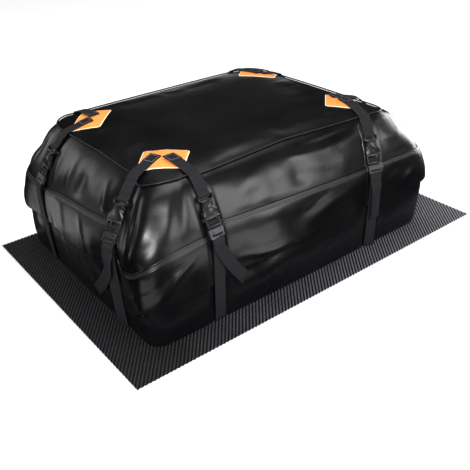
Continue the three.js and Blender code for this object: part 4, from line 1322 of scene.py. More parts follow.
@dataclass
class FabricSettling:
    """Lets cloth that is cut a little too large settle between the lines it is sewn or pressed along."""

    growth: float = 0.004
    pressure: float = 2.2
    frames: int = 20
    cap: float = 5.0
    evening_rounds: int = 3
    share_kept: float = 0.8

    def run(self, trial: bpy.types.Object, freedom: Array) -> Array:
        """Simulates a trial mesh, measures how far each vertex moved and removes the mesh.

        Args:
            trial: a mesh object made for this.
            freedom: 0 where a vertex is held and 1 where it is free.

        Returns:
            Moves in millimetres, capped and faded towards the held places.
        """
        before = vertex_array(trial)
        held = trial.vertex_groups.new(name="held")
        rounded = np.round(1 - freedom, 2)
        for weight in np.unique(rounded):
            held.add(np.flatnonzero(rounded == weight).tolist(), float(weight), "REPLACE")
        cloth = trial.modifiers.new("settle", "CLOTH")
        settings = cloth.settings
        settings.quality = 4
        settings.mass = 0.4
        settings.vertex_group_mass = "held"
        settings.pin_stiffness = 1.0
        settings.tension_stiffness = settings.compression_stiffness = 14
        settings.shear_stiffness = 8
        settings.bending_stiffness = 18.0
        settings.shrink_min = -self.growth
        settings.use_pressure = True
        settings.uniform_pressure_force = self.pressure
        settings.effector_weights.gravity = 0
        cloth.collision_settings.use_collision = False
        cloth.point_cache.frame_start, cloth.point_cache.frame_end = 1, self.frames
        scene = bpy.context.scene
        for step in range(1, self.frames + 1):
            scene.frame_set(step)
        settled = trial.evaluated_get(bpy.context.evaluated_depsgraph_get()).to_mesh()
        flat = np.zeros(len(settled.vertices) * 3)
        settled.vertices.foreach_get("co", flat)
        moves = flat.reshape(-1, 3) / MM - before
        bpy.data.objects.remove(trial, do_unlink=True)
        scene.frame_set(1)
        far = np.linalg.norm(moves, axis=1, keepdims=True)
        moves *= np.minimum(1, self.cap / np.maximum(far, 1e-6))
        return moves * np.minimum(1, freedom * 1.6)[:, None]


@dataclass
class StuffedBody:
    """The bag itself: sides, base edge, zip channel and domed top, as one sewn shell."""

    form: BagForm
    folds: tuple[Fold, ...]
    base_rows: int = 13
    upper_rows: int = 15
    crown_rows: int = 20
    top_starts: float = 425
    patch_hold: tuple[float, float] = (88, 150)
    strap_hold: tuple[float, float] = (24, 46)
    tip_margin: float = 30
    settling: FabricSettling = field(default_factory=FabricSettling)

    def __post_init__(self) -> None:
        """Lays out the columns and the heights of the seams round the bag."""
        self.stations = self.form.stations()
        self.flap_top = np.array([self.form.height_of(self.form.flap_top, s) for s in self.stations])
        self.flap_bottom = np.array([self.form.height_of(self.form.flap_bottom, s) for s in self.stations])
        self.seam_top = np.array([self.form.height_of(self.form.seam_top, s) for s in self.stations])

    def rings(self) -> tuple[Array, Array]:
        """Rings of the skin from the floor to the middle of the top.

        Returns:
            The grid of points, and how free the cloth is at each.
        """
        form, ones = self.form, np.ones(len(self.stations))
        zip_mid = self.flap_top - form.zip_below_flap
        half = form.zip_tape / 2
        rings, free = [], []

        def ring(heights: Array, offset: float, freedom: float) -> None:
            rings.append(form.level(self.stations, heights, offset))
            free.append(np.full(len(self.stations), freedom))

        for rise, inset in ((0, -5), (1.2, -1.6), (4, -0.2), (9, 0)):
            ring(ones * (form.floor + rise), inset, 0)
        for t in np.linspace(0, 1, self.base_rows)[1:]:
            ring(form.floor + 9 + (self.flap_bottom - form.floor - 9) * t, 0,
                 float(smooth_step(t, 0.02, 0.3) * (1 - smooth_step(t, 0.8, 0.97))))
        for t in (0.33, 0.7):
            ring(self.flap_bottom + (zip_mid - half - form.channel_flank - self.flap_bottom) * t, 0, 0)
        ring(zip_mid - half - form.channel_flank, 0, 0)
        ring(zip_mid - half, -form.channel_depth, 0)
        ring(zip_mid + half, -form.channel_depth, 0)
        ring(zip_mid + half + form.channel_flank, 0, 0)
        ring(self.flap_top - 6, 0, 0)
        for t in np.linspace(0, 1, self.upper_rows):
            ring(self.flap_top + (self.seam_top - self.flap_top) * t, 0,
                 float(smooth_step(t, 0.0, 0.22) * (1 - smooth_step(t, 0.84, 1.0))))
        seam = rings[-1]
        for i, scale in enumerate(1 - (np.arange(1, self.crown_rows) / self.crown_rows) ** 1.5 * 0.97):
            rings.append(form.crown(seam, float(scale)))
            freedom = float(smooth_step(i, 0, 4) * smooth_step(scale, 0.4, 0.95))
            free.append(np.full(len(self.stations), freedom))
        return np.array(rings), np.array(free)

    def _freedom(self, grid: Array, free: Array) -> Array:
        """Holds the cloth under the straps and the patches as well as along the seams.

        Args:
            grid: the rings of points.
            free: freedom by row.

        Returns:
            Freedom at each point.
        """
        for column, station in enumerate(self.stations):
            if station.kind is StationKind.STRAP:
                free[:, column] = 0
            elif station.kind is StationKind.PANEL:
                free[:, column] *= float(smooth_step(min(station.share, 1 - station.share), 0.0, 0.09))
            else:
                free[:, column] *= float(smooth_step(min(station.share, 1 - station.share), -0.02, 0.16))
        top = grid[..., 2] > self.top_starts
        for centre in CornerPatch.centres():
            gap = np.hypot(grid[..., 0] - centre[0], grid[..., 1] - centre[1])
            free = np.where(top, free * smooth_step(gap, *self.patch_hold), free)
        for plan in STRAPS:
            tip = plan.side.place(plan.tip_along, plan.tip_depth)
            foot = plan.side.place(plan.base_along, self.form.depths[plan.side](self.form.floor))
            axis = (foot - tip) / np.linalg.norm(foot - tip)
            local = grid[..., :2] - tip
            gap = np.abs(local @ np.array([-axis[1], axis[0]]))
            beyond = local @ axis > -self.tip_margin
            free = np.where(top & beyond, free * smooth_step(gap, *self.strap_hold), free)
        return free

    def build(self) -> bpy.types.Object:
        """Builds the shell, settles its fabric and folds it.

        Returns:
            The bag's shell.
        """
        grid, free = self.rings()
        free = self._freedom(grid, free)
        trial = self._shell("settling_trial", grid)
        freedom = np.append(free.ravel(), [1.0, 0.0])
        moves = self.settling.run(trial, freedom)[:-2].reshape(grid.shape)
        for _ in range(self.settling.evening_rounds):
            moves = (moves * 2 + np.roll(moves, 1, axis=1) + np.roll(moves, -1, axis=1)) / 4
        grid = grid + moves * self.settling.share_kept
        grid, free = refine(grid), np.clip(refine(free[..., None])[..., 0], 0, 1)
        lift = sum(fold.lift(grid) for fold in self.folds)
        lift = lift + rumple(grid, 150, 3.7, 2) * 2.4 + rumple(grid, 46, 9.1, 2) * 0.5
        return self._shell("bag_shell", grid + grid_normals(grid) * (lift * free)[..., None])

    def _shell(self, name: str, grid: Array) -> bpy.types.Object:
        """Closes the rings with a fan at the top and the bottom.

        Args:
            name: the object's name.
            grid: the rings.

        Returns:
            The closed shell.
        """
        rows, columns = grid.shape[:2]
        last, middle = (rows - 1) * columns, rows * columns
        points = np.vstack([grid.reshape(-1, 3), [0, 0, grid[-1, :, 2].mean()], [0, 0, self.form.floor]])
        faces = grid_faces(rows, columns, closed=True)
        faces += [(last + c, last + (c + 1) % columns, middle) for c in range(columns)]
        faces += [((c + 1) % columns, c, middle + 1) for c in range(columns)]
        return new_mesh_object(name, points, faces)


@dataclass
class StormFlapBand:
    """The band of fabric over the zip: sewn along its top edge, with a turned hem below."""

    body: StuffedBody
    folds: tuple[Fold, ...]
    rows: int = 15
    measured_row: int = 9
    thickness: float = 2.4
    outer_top: float = 3.4
    outer_middle: float = 6.0
    outer_bottom: float = 5.5
    flare: float = 6.5

    def build(self) -> bpy.types.Object:
        """Builds the flap.

        Returns:
            The flap.
        """
        body, form = self.body, self.body.form
        top, bottom = body.flap_top, body.flap_bottom
        shares = np.concatenate([[0, 0.012, 0.03], np.linspace(0.07, 0.93, self.rows), [0.965, 0.985, 1]])
        middle, hem = self.outer_middle, self.outer_bottom
        swell = MonotoneCurve([(0, self.outer_top), (0.14, middle - 0.6), (0.45, middle), (0.9, hem),
                               (0.95, hem + 0.4), (1, hem)])
        share = np.concatenate([shares[::-1], [0.012, 0.3, 0.7, 0.988]])
        inset = np.where(np.arange(len(share)) < len(shares), 0, self.thickness)
        rings = [form.level(body.stations, bottom + (top - bottom) * (1 - t), float(swell(t)) - float(inwards))
                 for t, inwards in zip(share, inset)]
        free = np.ones((len(share), len(body.stations))) * smooth_step(share, 0.0, 0.25)[:, None]
        loose = np.ones(free.shape) * smooth_step(share, 0.1, 0.95)[:, None]
        for column, station in enumerate(body.stations):
            panel = station.kind is StationKind.PANEL
            margin = min(station.share, 1 - station.share)
            held = station.kind is StationKind.STRAP
            free[:, column] *= 0 if held else float(smooth_step(margin, 0.0, 0.1 if panel else 0.16))
            loose[:, column] *= 0 if held else float(smooth_step(margin, 0.1, 0.22 if panel else 0.34))
        facts = np.stack(np.broadcast_arrays(free, share[:, None], (top - bottom)[None, :], loose), axis=-1)
        grid, facts = refine(np.array(rings), True), refine(facts, True)
        free, share, reach = np.clip(facts[..., 0], 0, 1), np.clip(facts[..., 1], 0, 1), facts[..., 2]
        lift = sum(fold.lift(grid) for fold in self.folds)
        lift = lift + rumple(grid, 130, 5.3, 2) * 2.2 + rumple(grid, 50, 1.9, 1) * 0.6
        edge = smooth_step(share, 0.72, 1.0) * (1.3 + rumple(grid, 95, 7.7, 2) * 2.2)
        lift = np.maximum(lift + edge, -2.2 + 0.4 * edge) * free + self.flare * np.clip(facts[..., 3], 0, 1)
        grid = grid + self._outward(grid) * lift[..., None]
        flap = ring_object("storm_flap_cloth", grid)
        run = run_lengths(grid[self.measured_row])
        set_uv(flap, np.stack(np.broadcast_arrays(run, share * reach), axis=-1).reshape(-1, 2))
        return flap

    @staticmethod
    def _outward(grid: Array) -> Array:
        """Level outward directions of the rings.

        Args:
            grid: the flap's rings.

        Returns:
            A unit direction for each point.
        """
        tangent = np.roll(grid, -1, axis=1) - np.roll(grid, 1, axis=1)
        return unit(np.stack([tangent[..., 1], -tangent[..., 0], np.zeros(grid.shape[:2])], axis=-1))


@dataclass
class ZipBand:
    """Zip tape with its row of teeth, on the floor of the channel under the flap."""

    body: StuffedBody
    profile: tuple[tuple[float, float], ...] = (
        (-12, -5.2), (-12, -3.9), (-3.2, -3.9), (-2.5, -2.3),
        (2.5, -2.3), (3.2, -3.9), (12, -3.9), (12, -5.2))

    def build(self) -> bpy.types.Object:
        """Builds the zip.

        Returns:
            The zip.
        """
        form, stations = self.body.form, self.body.stations
        middle = self.body.flap_top - form.zip_below_flap
        rings = [form.level(stations, middle + rise, offset) for rise, offset in reversed(self.profile)]
        return ring_object("zip_band", np.array(rings))


@dataclass
class SeamPiping:
    """A thin covered cord along the top seam."""

    body: StuffedBody
    radius: float = 2.6
    sides: int = 10

    def build(self) -> bpy.types.Object:
        """Builds the piping.

        Returns:
            The piping.
        """
        body = self.body
        seam = body.form.level(body.stations, body.seam_top)
        tangent = unit(np.roll(seam, -1, axis=0) - np.roll(seam, 1, axis=0))
        out = unit(np.column_stack([tangent[:, 1], -tangent[:, 0]]))
        reach = (self.radius / math.cos(math.pi / 5) + 0.7) * 0.72
        rings = []
        for k in range(self.sides):
            angle = 2 * math.pi * k / self.sides
            across = reach + self.radius * math.cos(angle)
            rise = reach + self.radius * math.sin(angle)
            rings.append(np.column_stack([seam[:, :2] + out * across, seam[:, 2] + rise]))
        return ring_object("seam_piping", np.array(rings))


@dataclass
class CornerPatch:
    """A draped patch on a top corner, turned towards the corner, with rounded ends and a wavy edge."""

    name: str
    sign_x: int
    sign_y: int
    length: float = PATCH_LENGTH
    width: float = PATCH_WIDTH
    corner_radius: float = 9
    lift: float = 0.9
    thickness: float = 1.5

    @staticmethod
    def centres() -> list[tuple[float, float]]:
        """Plan positions of the four patches."""
        return [(x * PATCH_X, y * PATCH_Y) for x, y in ((-1, -1), (1, -1), (1, 1), (-1, 1))]

    def build(self, carrier: BVHTree) -> bpy.types.Object:
        """Builds the patch over the bag's top.

        Args:
            carrier: the finished skin that the patch lies on.

        Returns:
            The patch.
        """
        columns, rows = 35, 27
        out = np.array([self.sign_x, self.sign_y]) * math.sqrt(0.5)
        along = np.array([-out[1], out[0]])
        centre = np.array([self.sign_x * PATCH_X, self.sign_y * PATCH_Y])
        tops, uv = [], []
        for v in np.linspace(-1, 1, rows):
            for u in np.linspace(-1, 1, columns):
                x, y = self._rounded(u, v)
                ripple = rumple(np.array([[x, y, self.sign_x * 40.0 + self.sign_y * 9]]), 26, 2.2, 2)[0]
                edge = max(abs(u), abs(v))
                x, y = x * (1 + 0.012 * ripple * edge), y * (1 + 0.018 * ripple * edge)
                plan = centre + along * x + out * y
                hit = carrier.ray_cast(Vector((*(plan * MM), 0.6)), Vector((0, 0, -1)))[0]
                rim = smooth_step(edge, 0.86, 1.0)
                z = hit.z / MM + self.lift + self.thickness + 0.35 * ripple * (1 - rim) - 0.9 * rim
                tops.append((*plan, z))
                uv.append((x, y))
        tops = np.array(tops)
        lows = tops - [0, 0, self.thickness]
        faces = grid_faces(rows, columns, False)
        count = len(tops)
        faces += [tuple(count + i for i in reversed(f)) for f in grid_faces(rows, columns, False)]
        rim = list(range(columns)) + [r * columns + columns - 1 for r in range(1, rows)]
        rim += [(rows - 1) * columns + c for c in range(columns - 2, -1, -1)]
        rim += [r * columns for r in range(rows - 2, 0, -1)]
        faces += [(b, a, count + a, count + b) for a, b in zip(rim, rim[1:] + rim[:1])]
        patch = new_mesh_object(f"{self.name}_cloth", np.vstack([tops, lows]), faces)
        face_outwards(patch)
        set_uv(patch, np.array(uv + uv))
        subdivide(patch)
        return patch

    def _rounded(self, u: float, v: float) -> tuple[float, float]:
        """Maps a square grid to the patch's rounded outline.

        Args:
            u: -1 to 1 along the patch.
            v: -1 to 1 across it.

        Returns:
            The place in millimetres.
        """
        x, y = u * self.length / 2, v * self.width / 2
        over_x = abs(x) - (self.length / 2 - self.corner_radius)
        over_y = abs(y) - (self.width / 2 - self.corner_radius)
        if over_x > 0 and over_y > 0:
            reach = max(over_x, over_y)
            scale = reach / math.hypot(over_x, over_y)
            x = math.copysign(self.length / 2 - self.corner_radius + over_x * scale, x)
            y = math.copysign(self.width / 2 - self.corner_radius + over_y * scale, y)
        return x, y


# Straps and hardware

TIP_ROWS = 7
CAP_DIAGONAL = 38.05
CAP_LEEWAY = 0.12
BASE_DEPTHS = {Side.FRONT: 427, Side.RIGHT: 562, Side.BACK: 427, Side.LEFT: 562}


def dress(obj: bpy.types.Object, material: bpy.types.Material, slot: str, body: str | None,
          *nodes: str) -> None:
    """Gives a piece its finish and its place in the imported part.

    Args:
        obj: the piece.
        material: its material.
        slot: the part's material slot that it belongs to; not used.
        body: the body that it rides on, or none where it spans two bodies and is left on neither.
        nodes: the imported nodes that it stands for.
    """
    obj.data.materials.clear()
    obj.data.materials.append(material)
    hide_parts(*nodes)
    if body:
        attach(obj, body)


@dataclass
class StrapRings:
    """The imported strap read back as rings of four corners, in order from one end to the other."""

    centres: Array
    across: Array
    outward: Array

    @classmethod
    def of(cls, node: str) -> "StrapRings":
        """Reads a strap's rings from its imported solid.

        Args:
            node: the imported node's name.

        Returns:
            The rings.
        """
        bm = welded_node(node)
        bmesh.ops.triangulate(bm, faces=bm.faces)
        bm.verts.ensure_lookup_table()
        layers = cls._layers(bm)
        corners = np.array([[np.array(v.co) / MM for v in layer] for layer in layers])
        bm.free()
        return cls._from_corners(corners)

    @staticmethod
    def _layers(bm: bmesh.types.BMesh) -> list[list[bmesh.types.BMVert]]:
        """Finds an end cap and walks the rings from it.

        Args:
            bm: the welded strap.

        Returns:
            Rings of four vertices.
        """
        for edge in bm.edges:
            faces = edge.link_faces
            if len(faces) != 2 or faces[0].normal.angle(faces[1].normal, 9) > 0.02:
                continue
            cap = list({v for f in faces for v in f.verts})
            if abs(edge.calc_length() / MM - CAP_DIAGONAL) > CAP_LEEWAY or len(cap) != 4:
                continue
            seen, layers = set(cap), [cap]
            while layers[-1]:
                step = {e.other_vert(v) for v in layers[-1] for e in v.link_edges} - seen
                seen |= step
                layers.append(list(step))
            layers.pop()
            if len(layers) > 3 and all(len(layer) == 4 for layer in layers):
                return layers
        raise ValueError("no end cap found on this strap")

    @classmethod
    def _from_corners(cls, corners: Array) -> "StrapRings":
        """Works out each ring's centre, width direction and outward direction.

        Args:
            corners: rings by four by three.

        Returns:
            The rings.
        """
        centres = corners.mean(axis=1)
        across, outward = [], []
        for i, ring in enumerate(corners):
            gaps = np.linalg.norm(ring - ring[0], axis=1)
            near = int(np.argsort(gaps)[1])
            short = ring[near] - ring[0]
            rest = [k for k in (1, 2, 3) if k != near]
            wide = ring[rest].mean(axis=0) - (ring[0] + ring[near]) / 2
            wide /= np.linalg.norm(wide)
            short -= wide * (short @ wide)
            short /= max(np.linalg.norm(short), 1e-9)
            if across and wide @ across[-1] < 0:
                wide = -wide
            if outward and short @ outward[-1] < 0:
                short = -short
            across.append(wide)
            outward.append(short)
        return cls(centres, np.array(across), np.array(outward))

    def part(self, start: int, end: int) -> "StrapRings":
        """Some of the rings.

        Args:
            start: the first ring.
            end: one past the last ring.

        Returns:
            The part.
        """
        return StrapRings(self.centres[start:end], self.across[start:end], self.outward[start:end])

    def starting_at(self, point: Array) -> "StrapRings":
        """The same rings, in order from the end that is nearer to a point.

        Args:
            point: a place near one end.

        Returns:
            The ordered rings.
        """
        ends = [np.linalg.norm(self.centres[k] - point) for k in (0, -1)]
        step = 1 if ends[0] <= ends[1] else -1
        return StrapRings(self.centres[::step], self.across[::step], self.outward[::step])

    def second_layer(self, length: float, rise: float) -> "StrapRings":
        """A layer that lies on the start of the strap.

        Args:
            length: how far the layer reaches.
            rise: how far above the strap it lies.

        Returns:
            The layer's rings.
        """
        stops = np.linspace(0.6, length, TIP_ROWS)
        centres = np.column_stack([np.interp(stops, self.lengths, self.centres[:, k]) for k in range(3)])
        up = self.outward[0] * np.sign(self.outward[0][2])
        lift = rise * np.minimum(1, (length - stops) / 5 + 0.55)
        directions = np.tile(self.across[0], (TIP_ROWS, 1)), np.tile(up, (TIP_ROWS, 1))
        return StrapRings(centres + up * lift[:, None], *directions)

    @property
    def lengths(self) -> Array:
        """Length along the strap at each ring."""
        return run_lengths(self.centres)


@dataclass
class WovenStrap:
    """Flat webbing with rounded selvedges, bent along a packed strap's rings."""

    name: str
    rings: StrapRings
    width: float = WEBBING_WIDTH
    thickness: float = 1.7
    step: float = 4.0
    ripple: float = 0.25

    def build(self) -> bpy.types.Object:
        """Builds the webbing.

        Returns:
            The strap.
        """
        lengths = self.rings.lengths
        stops = self._stops(lengths)
        centres = self._between(self.rings.centres, lengths, stops)
        across = unit(self._between(self.rings.across, lengths, stops))
        tangent = unit(np.gradient(centres, axis=0))
        across = unit(across - tangent * np.sum(across * tangent, axis=1, keepdims=True))
        outward = np.cross(across, tangent)
        section = self._section()
        wander = self.ripple * rumple(centres, 60, 4.4, 2)
        centres = centres + across * wander[:, None]
        grid = centres[:, None] + across[:, None] * section[None, :, :1]
        grid = grid + outward[:, None] * section[None, :, 1:]
        rows, columns = grid.shape[:2]
        faces = grid_faces(rows, columns, closed=True)
        faces += [tuple(reversed(range(columns))), tuple((rows - 1) * columns + c for c in range(columns))]
        strap = new_mesh_object(self.name, grid.reshape(-1, 3), faces)
        face_outwards(strap)
        uv = np.stack([np.broadcast_to(section[:, 0], (rows, columns)),
                       np.broadcast_to(stops[:, None], (rows, columns))], axis=-1)
        set_uv(strap, uv.reshape(-1, 2))
        return strap

    def _stops(self, lengths: Array) -> Array:
        """Lengths at which the webbing gets a row, closer together where it bends.

        Args:
            lengths: length at each ring.

        Returns:
            The stops.
        """
        stops = [0.0]
        for a, b in zip(lengths[:-1], lengths[1:]):
            count = max(1, math.ceil((b - a) / self.step))
            stops += list(a + (b - a) * (np.arange(count) + 1) / count)
        return np.array(stops)

    def _between(self, values: Array, lengths: Array, stops: Array) -> Array:
        """Smooth values between the rings.

        Args:
            values: a row for each ring.
            lengths: length at each ring.
            stops: where values are wanted.

        Returns:
            A row for each stop.
        """
        curves = [MonotoneCurve(list(zip(lengths, values[:, k]))) for k in range(3)]
        return np.column_stack([curve(stops) for curve in curves])

    def _section(self) -> Array:
        """Outline across the webbing: flat faces, thicker selvedges and rounded edges.

        Returns:
            Points as distance across and height.
        """
        half, thick = self.width / 2, self.thickness / 2
        left = [(-half + 0.5, thick * 0.8), (-half + 1.6, thick * 1.08), (-half + 3.2, thick * 0.94),
                (-half * 0.4, thick)]
        upper = left + [(0, thick)] + [(-x, y) for x, y in reversed(left)]
        lower = [(x, -y) for x, y in reversed(upper)]
        return np.array([(-half, 0)] + upper + [(half, 0)] + lower)


@dataclass
class BuckledStrap:
    """One whole tie-down: sewn upper webbing, buckle, keeper, load webbing and loose tail."""

    plan: StrapPlan

    def build(self, finishes: "Finishes") -> None:
        """Builds the tie-down's pieces and dresses them.

        Args:
            finishes: the materials.
        """
        name = self.plan.name
        self._upper(name, finishes)
        self._lower(name, finishes)
        bodies = {"buckle_socket": ROOT, "buckle_plug": f"plug_{name}", "strap_keeper": f"keeper_{name}"}
        for kind, body in bodies.items():
            hardware = MouldedHardware(f"{kind}_{name}").build()
            dress(hardware, finishes.plastic, "moulded_plastic", body, f"{kind}_{name}")

    def _upper(self, name: str, finishes: "Finishes") -> None:
        """Builds the webbing from its sewn tip to the socket, with its folded tip.

        Args:
            name: the strap's name.
            finishes: the materials.
        """
        tip = np.append(self.plan.side.place(self.plan.tip_along, self.plan.tip_depth), 465)
        rings = StrapRings.of(f"upper_strap_{name}").starting_at(tip)
        upper = WovenStrap(f"upper_webbing_{name}", rings).build()
        dress(upper, finishes.webbing, "webbing", ROOT, f"upper_strap_{name}")
        doubled = WovenStrap(f"sewn_tip_{name}", rings.second_layer(TIP_LENGTH, 1.9), width=38.6).build()
        dress(doubled, finishes.sewn_webbing, "webbing", ROOT, f"upper_strap_{name}")

    def _lower(self, name: str, finishes: "Finishes") -> None:
        """Builds the load run, which is baked in place on no body, and the tail, which rides on the plug.

        Args:
            name: the strap's name.
            finishes: the materials.
        """
        foot = np.append(self.plan.side.place(self.plan.base_along, BASE_DEPTHS[self.plan.side]), 10)
        rings = StrapRings.of(f"lower_strap_{name}").starting_at(foot)
        turn = int(np.argmax(rings.centres[:, 2]))
        load = WovenStrap(f"load_webbing_{name}", rings.part(0, turn + 1)).build()
        tail = WovenStrap(f"tail_webbing_{name}", rings.part(turn, len(rings.centres))).build()
        dress(load, finishes.webbing, "webbing", None, f"lower_strap_{name}")
        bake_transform(load)
        dress(tail, finishes.webbing, "webbing", f"plug_{name}", f"lower_strap_{name}")


@dataclass
class MouldedHardware:
    """A buckle part or keeper with the softened edges of a moulding."""

    node: str
    edge: float = 0.45

    def build(self) -> bpy.types.Object:
        """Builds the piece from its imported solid.

        Returns:
            The softened piece.
        """
        bm = welded_node(self.node)
        bmesh.ops.dissolve_limit(bm, angle_limit=math.radians(2), verts=bm.verts, edges=bm.edges)
        obj = mesh_object(f"{self.node}_moulding", bm)
        bevel = obj.modifiers.new("soft edges", "BEVEL")
        bevel.width = self.edge * MM
        bevel.segments = 2
        bevel.limit_method = "ANGLE"
        bevel.angle_limit = math.radians(35)
        bevel.harden_normals = True
        apply_modifiers(obj)
        obj.data.shade_smooth()
        obj.data.set_sharp_from_angle(angle=math.radians(48))
        return obj


# The mat


@dataclass
class RoofMat:
    """The anti-slip mat: a thin foam sheet with slanting ribs over its whole top."""

    centre: tuple[float, float] = (36.6, -45.3)
    length: float = 1432
    width: float = 957
    angle: float = RIB_ANGLE
    pitch: float = RIB_PITCH
    bottom: float = 0.2
    sheet_top: float = 2.2
    crest: float = 3.9
    rim: float = 5.0
    trim: float = 0.2

    def build(self, finishes: "Finishes") -> bpy.types.Object:
        """Builds the mat.

        Args:
            finishes: the materials.

        Returns:
            The mat.
        """
        bm = self._slab()
        self._trim(bm)
        mat = mesh_object("ribbed_mat", bm)
        dress(mat, finishes.mat, "mat_foam", ROOT, "roof_mat")
        mat.data.materials.append(finishes.mat_edge)
        for face in mat.data.polygons:
            face.use_smooth = face.normal.z > 0.2
            face.material_index = int(self._on_rim(face.center))
        return mat

    def _slab(self) -> bmesh.types.BMesh:
        """An oversize slab whose top carries the ribs.

        Returns:
            The slab as a bmesh.
        """
        turn = math.radians(self.angle)
        run, side = np.array([math.cos(turn), math.sin(turn)]), np.array([-math.sin(turn), math.cos(turn)])
        reach = math.hypot(self.length, self.width) / 2 + self.pitch
        profile = ((0.0, 0.0), (0.16, 0.0), (0.22, 0.45), (0.3, 0.86), (0.5, 1.0), (0.7, 0.86), (0.78, 0.45),
                   (0.84, 0.0))
        count = math.ceil(reach * 2 / self.pitch)
        line = [((k + share) * self.pitch - reach, self.sheet_top + (self.crest - self.sheet_top) * rise)
                for k in range(count) for share, rise in profile]
        bm = bmesh.new()
        middle = np.array(self.centre)
        rows = []
        for end in (-reach, reach):
            top = [bm.verts.new((*((middle + run * end + side * y) * MM), z * MM)) for y, z in line]
            low = [bm.verts.new((*((middle + run * end + side * y) * MM), self.bottom * MM))
                   for y in (line[-1][0], line[0][0])]
            rows.append(top + low)
        size = len(rows[0])
        for k in range(size):
            n = (k + 1) % size
            bm.faces.new((rows[0][k], rows[0][n], rows[1][n], rows[1][k]))
        bm.faces.new(list(reversed(rows[0])))
        bm.faces.new(rows[1])
        bmesh.ops.recalc_face_normals(bm, faces=bm.faces)
        return bm

    def _trim(self, bm: bmesh.types.BMesh) -> None:
        """Cuts the slab to the mat's four straight edges, closes the cuts and marks off a narrow rim.

        Args:
            bm: the slab.
        """
        for axis, half in ((0, self.length / 2), (1, self.width / 2)):
            for sign in (-1, 1):
                for inset in (self.trim, self.rim):
                    normal = np.zeros(3)
                    normal[axis] = sign
                    place = np.append(self.centre, 0) + normal * (half - inset)
                    geometry = list(bm.verts) + list(bm.edges) + list(bm.faces)
                    cut = bmesh.ops.bisect_plane(bm, geom=geometry, plane_co=Vector(place * MM),
                                                 plane_no=Vector(normal), clear_outer=inset < self.rim)
                    edges = [item for item in cut["geom_cut"] if isinstance(item, bmesh.types.BMEdge)]
                    if inset < self.rim:
                        bmesh.ops.holes_fill(bm, edges=edges, sides=0)
        bmesh.ops.recalc_face_normals(bm, faces=bm.faces)

    def _on_rim(self, middle: Vector) -> bool:
        """Whether a face's middle lies on the mat's rim."""
        sizes = zip((self.length, self.width), self.centre, middle)
        return min(size / 2 - abs(place / MM - centre) for size, centre, place in sizes) < self.rim


# Finishes, light and camera


@dataclass
class Finishes:
    """Every material of the bag, built once."""

    fabric: bpy.types.Material
    flap: bpy.types.Material
    piping: bpy.types.Material
    patch: bpy.types.Material
    webbing: bpy.types.Material
    sewn_webbing: bpy.types.Material
    plastic: bpy.types.Material
    mat: bpy.types.Material
    mat_edge: bpy.types.Material
    zip_tape: bpy.types.Material
    zip_metal: bpy.types.Material

    @classmethod
    def build(cls) -> "Finishes":
        """Builds the materials.

        Returns:
            The set of materials.
        """
        black, bloom = srgb(5, 5, 7), srgb(9, 9, 12)
        webbing, thread = srgb(30, 30, 34), srgb(128, 138, 158)
        return cls(
            fabric=CoatedFabric("coated_fabric", black, bloom).material(),
            flap=CoatedFabric("flap_fabric", black, bloom, rows=SewnRows.FLAP).material(),
            piping=CoatedFabric("piping_fabric", srgb(12, 12, 14), srgb(20, 20, 22), 0.42).material(),
            patch=PatchFabric("patch_fabric", srgb(250, 150, 62), srgb(255, 232, 205),
                              PATCH_LENGTH / 2, PATCH_WIDTH / 2).material(),
            webbing=Webbing("webbing", webbing, thread).material(),
            sewn_webbing=Webbing("sewn_webbing", srgb(24, 24, 28), thread, (0.006, 0.037)).material(),
            plastic=MouldedPlastic("moulded_plastic", srgb(16, 16, 18)).material(),
            mat=RibbedFoam("mat_foam", srgb(9, 9, 11), srgb(196, 194, 204), RIB_ANGLE, RIB_PITCH).material(),
            mat_edge=PaleFoamEdge("mat_edge", srgb(232, 232, 236)).material(),
            zip_tape=ZipTape("zip_tape", srgb(20, 20, 22)).material(),
            zip_metal=DieCastMetal("zip_metal", srgb(70, 70, 76)).material())


@dataclass(frozen=True)
class Softbox:
    """One rectangular studio light."""

    name: str
    place: tuple[float, float, float]
    aim: tuple[float, float, float]
    size: tuple[float, float]
    power: float
    sheen_only: bool = False

    def build(self) -> None:
        """Adds the light."""
        lamp = bpy.data.lights.new(self.name, "AREA")
        lamp.shape = "RECTANGLE"
        lamp.size, lamp.size_y = self.size
        lamp.energy = self.power
        obj = linked_object(self.name, lamp)
        obj.location = self.place
        obj.rotation_euler = (Vector(self.aim) - Vector(self.place)).to_track_quat("-Z", "Y").to_euler()
        obj.visible_camera = False
        obj.visible_diffuse = not self.sheen_only


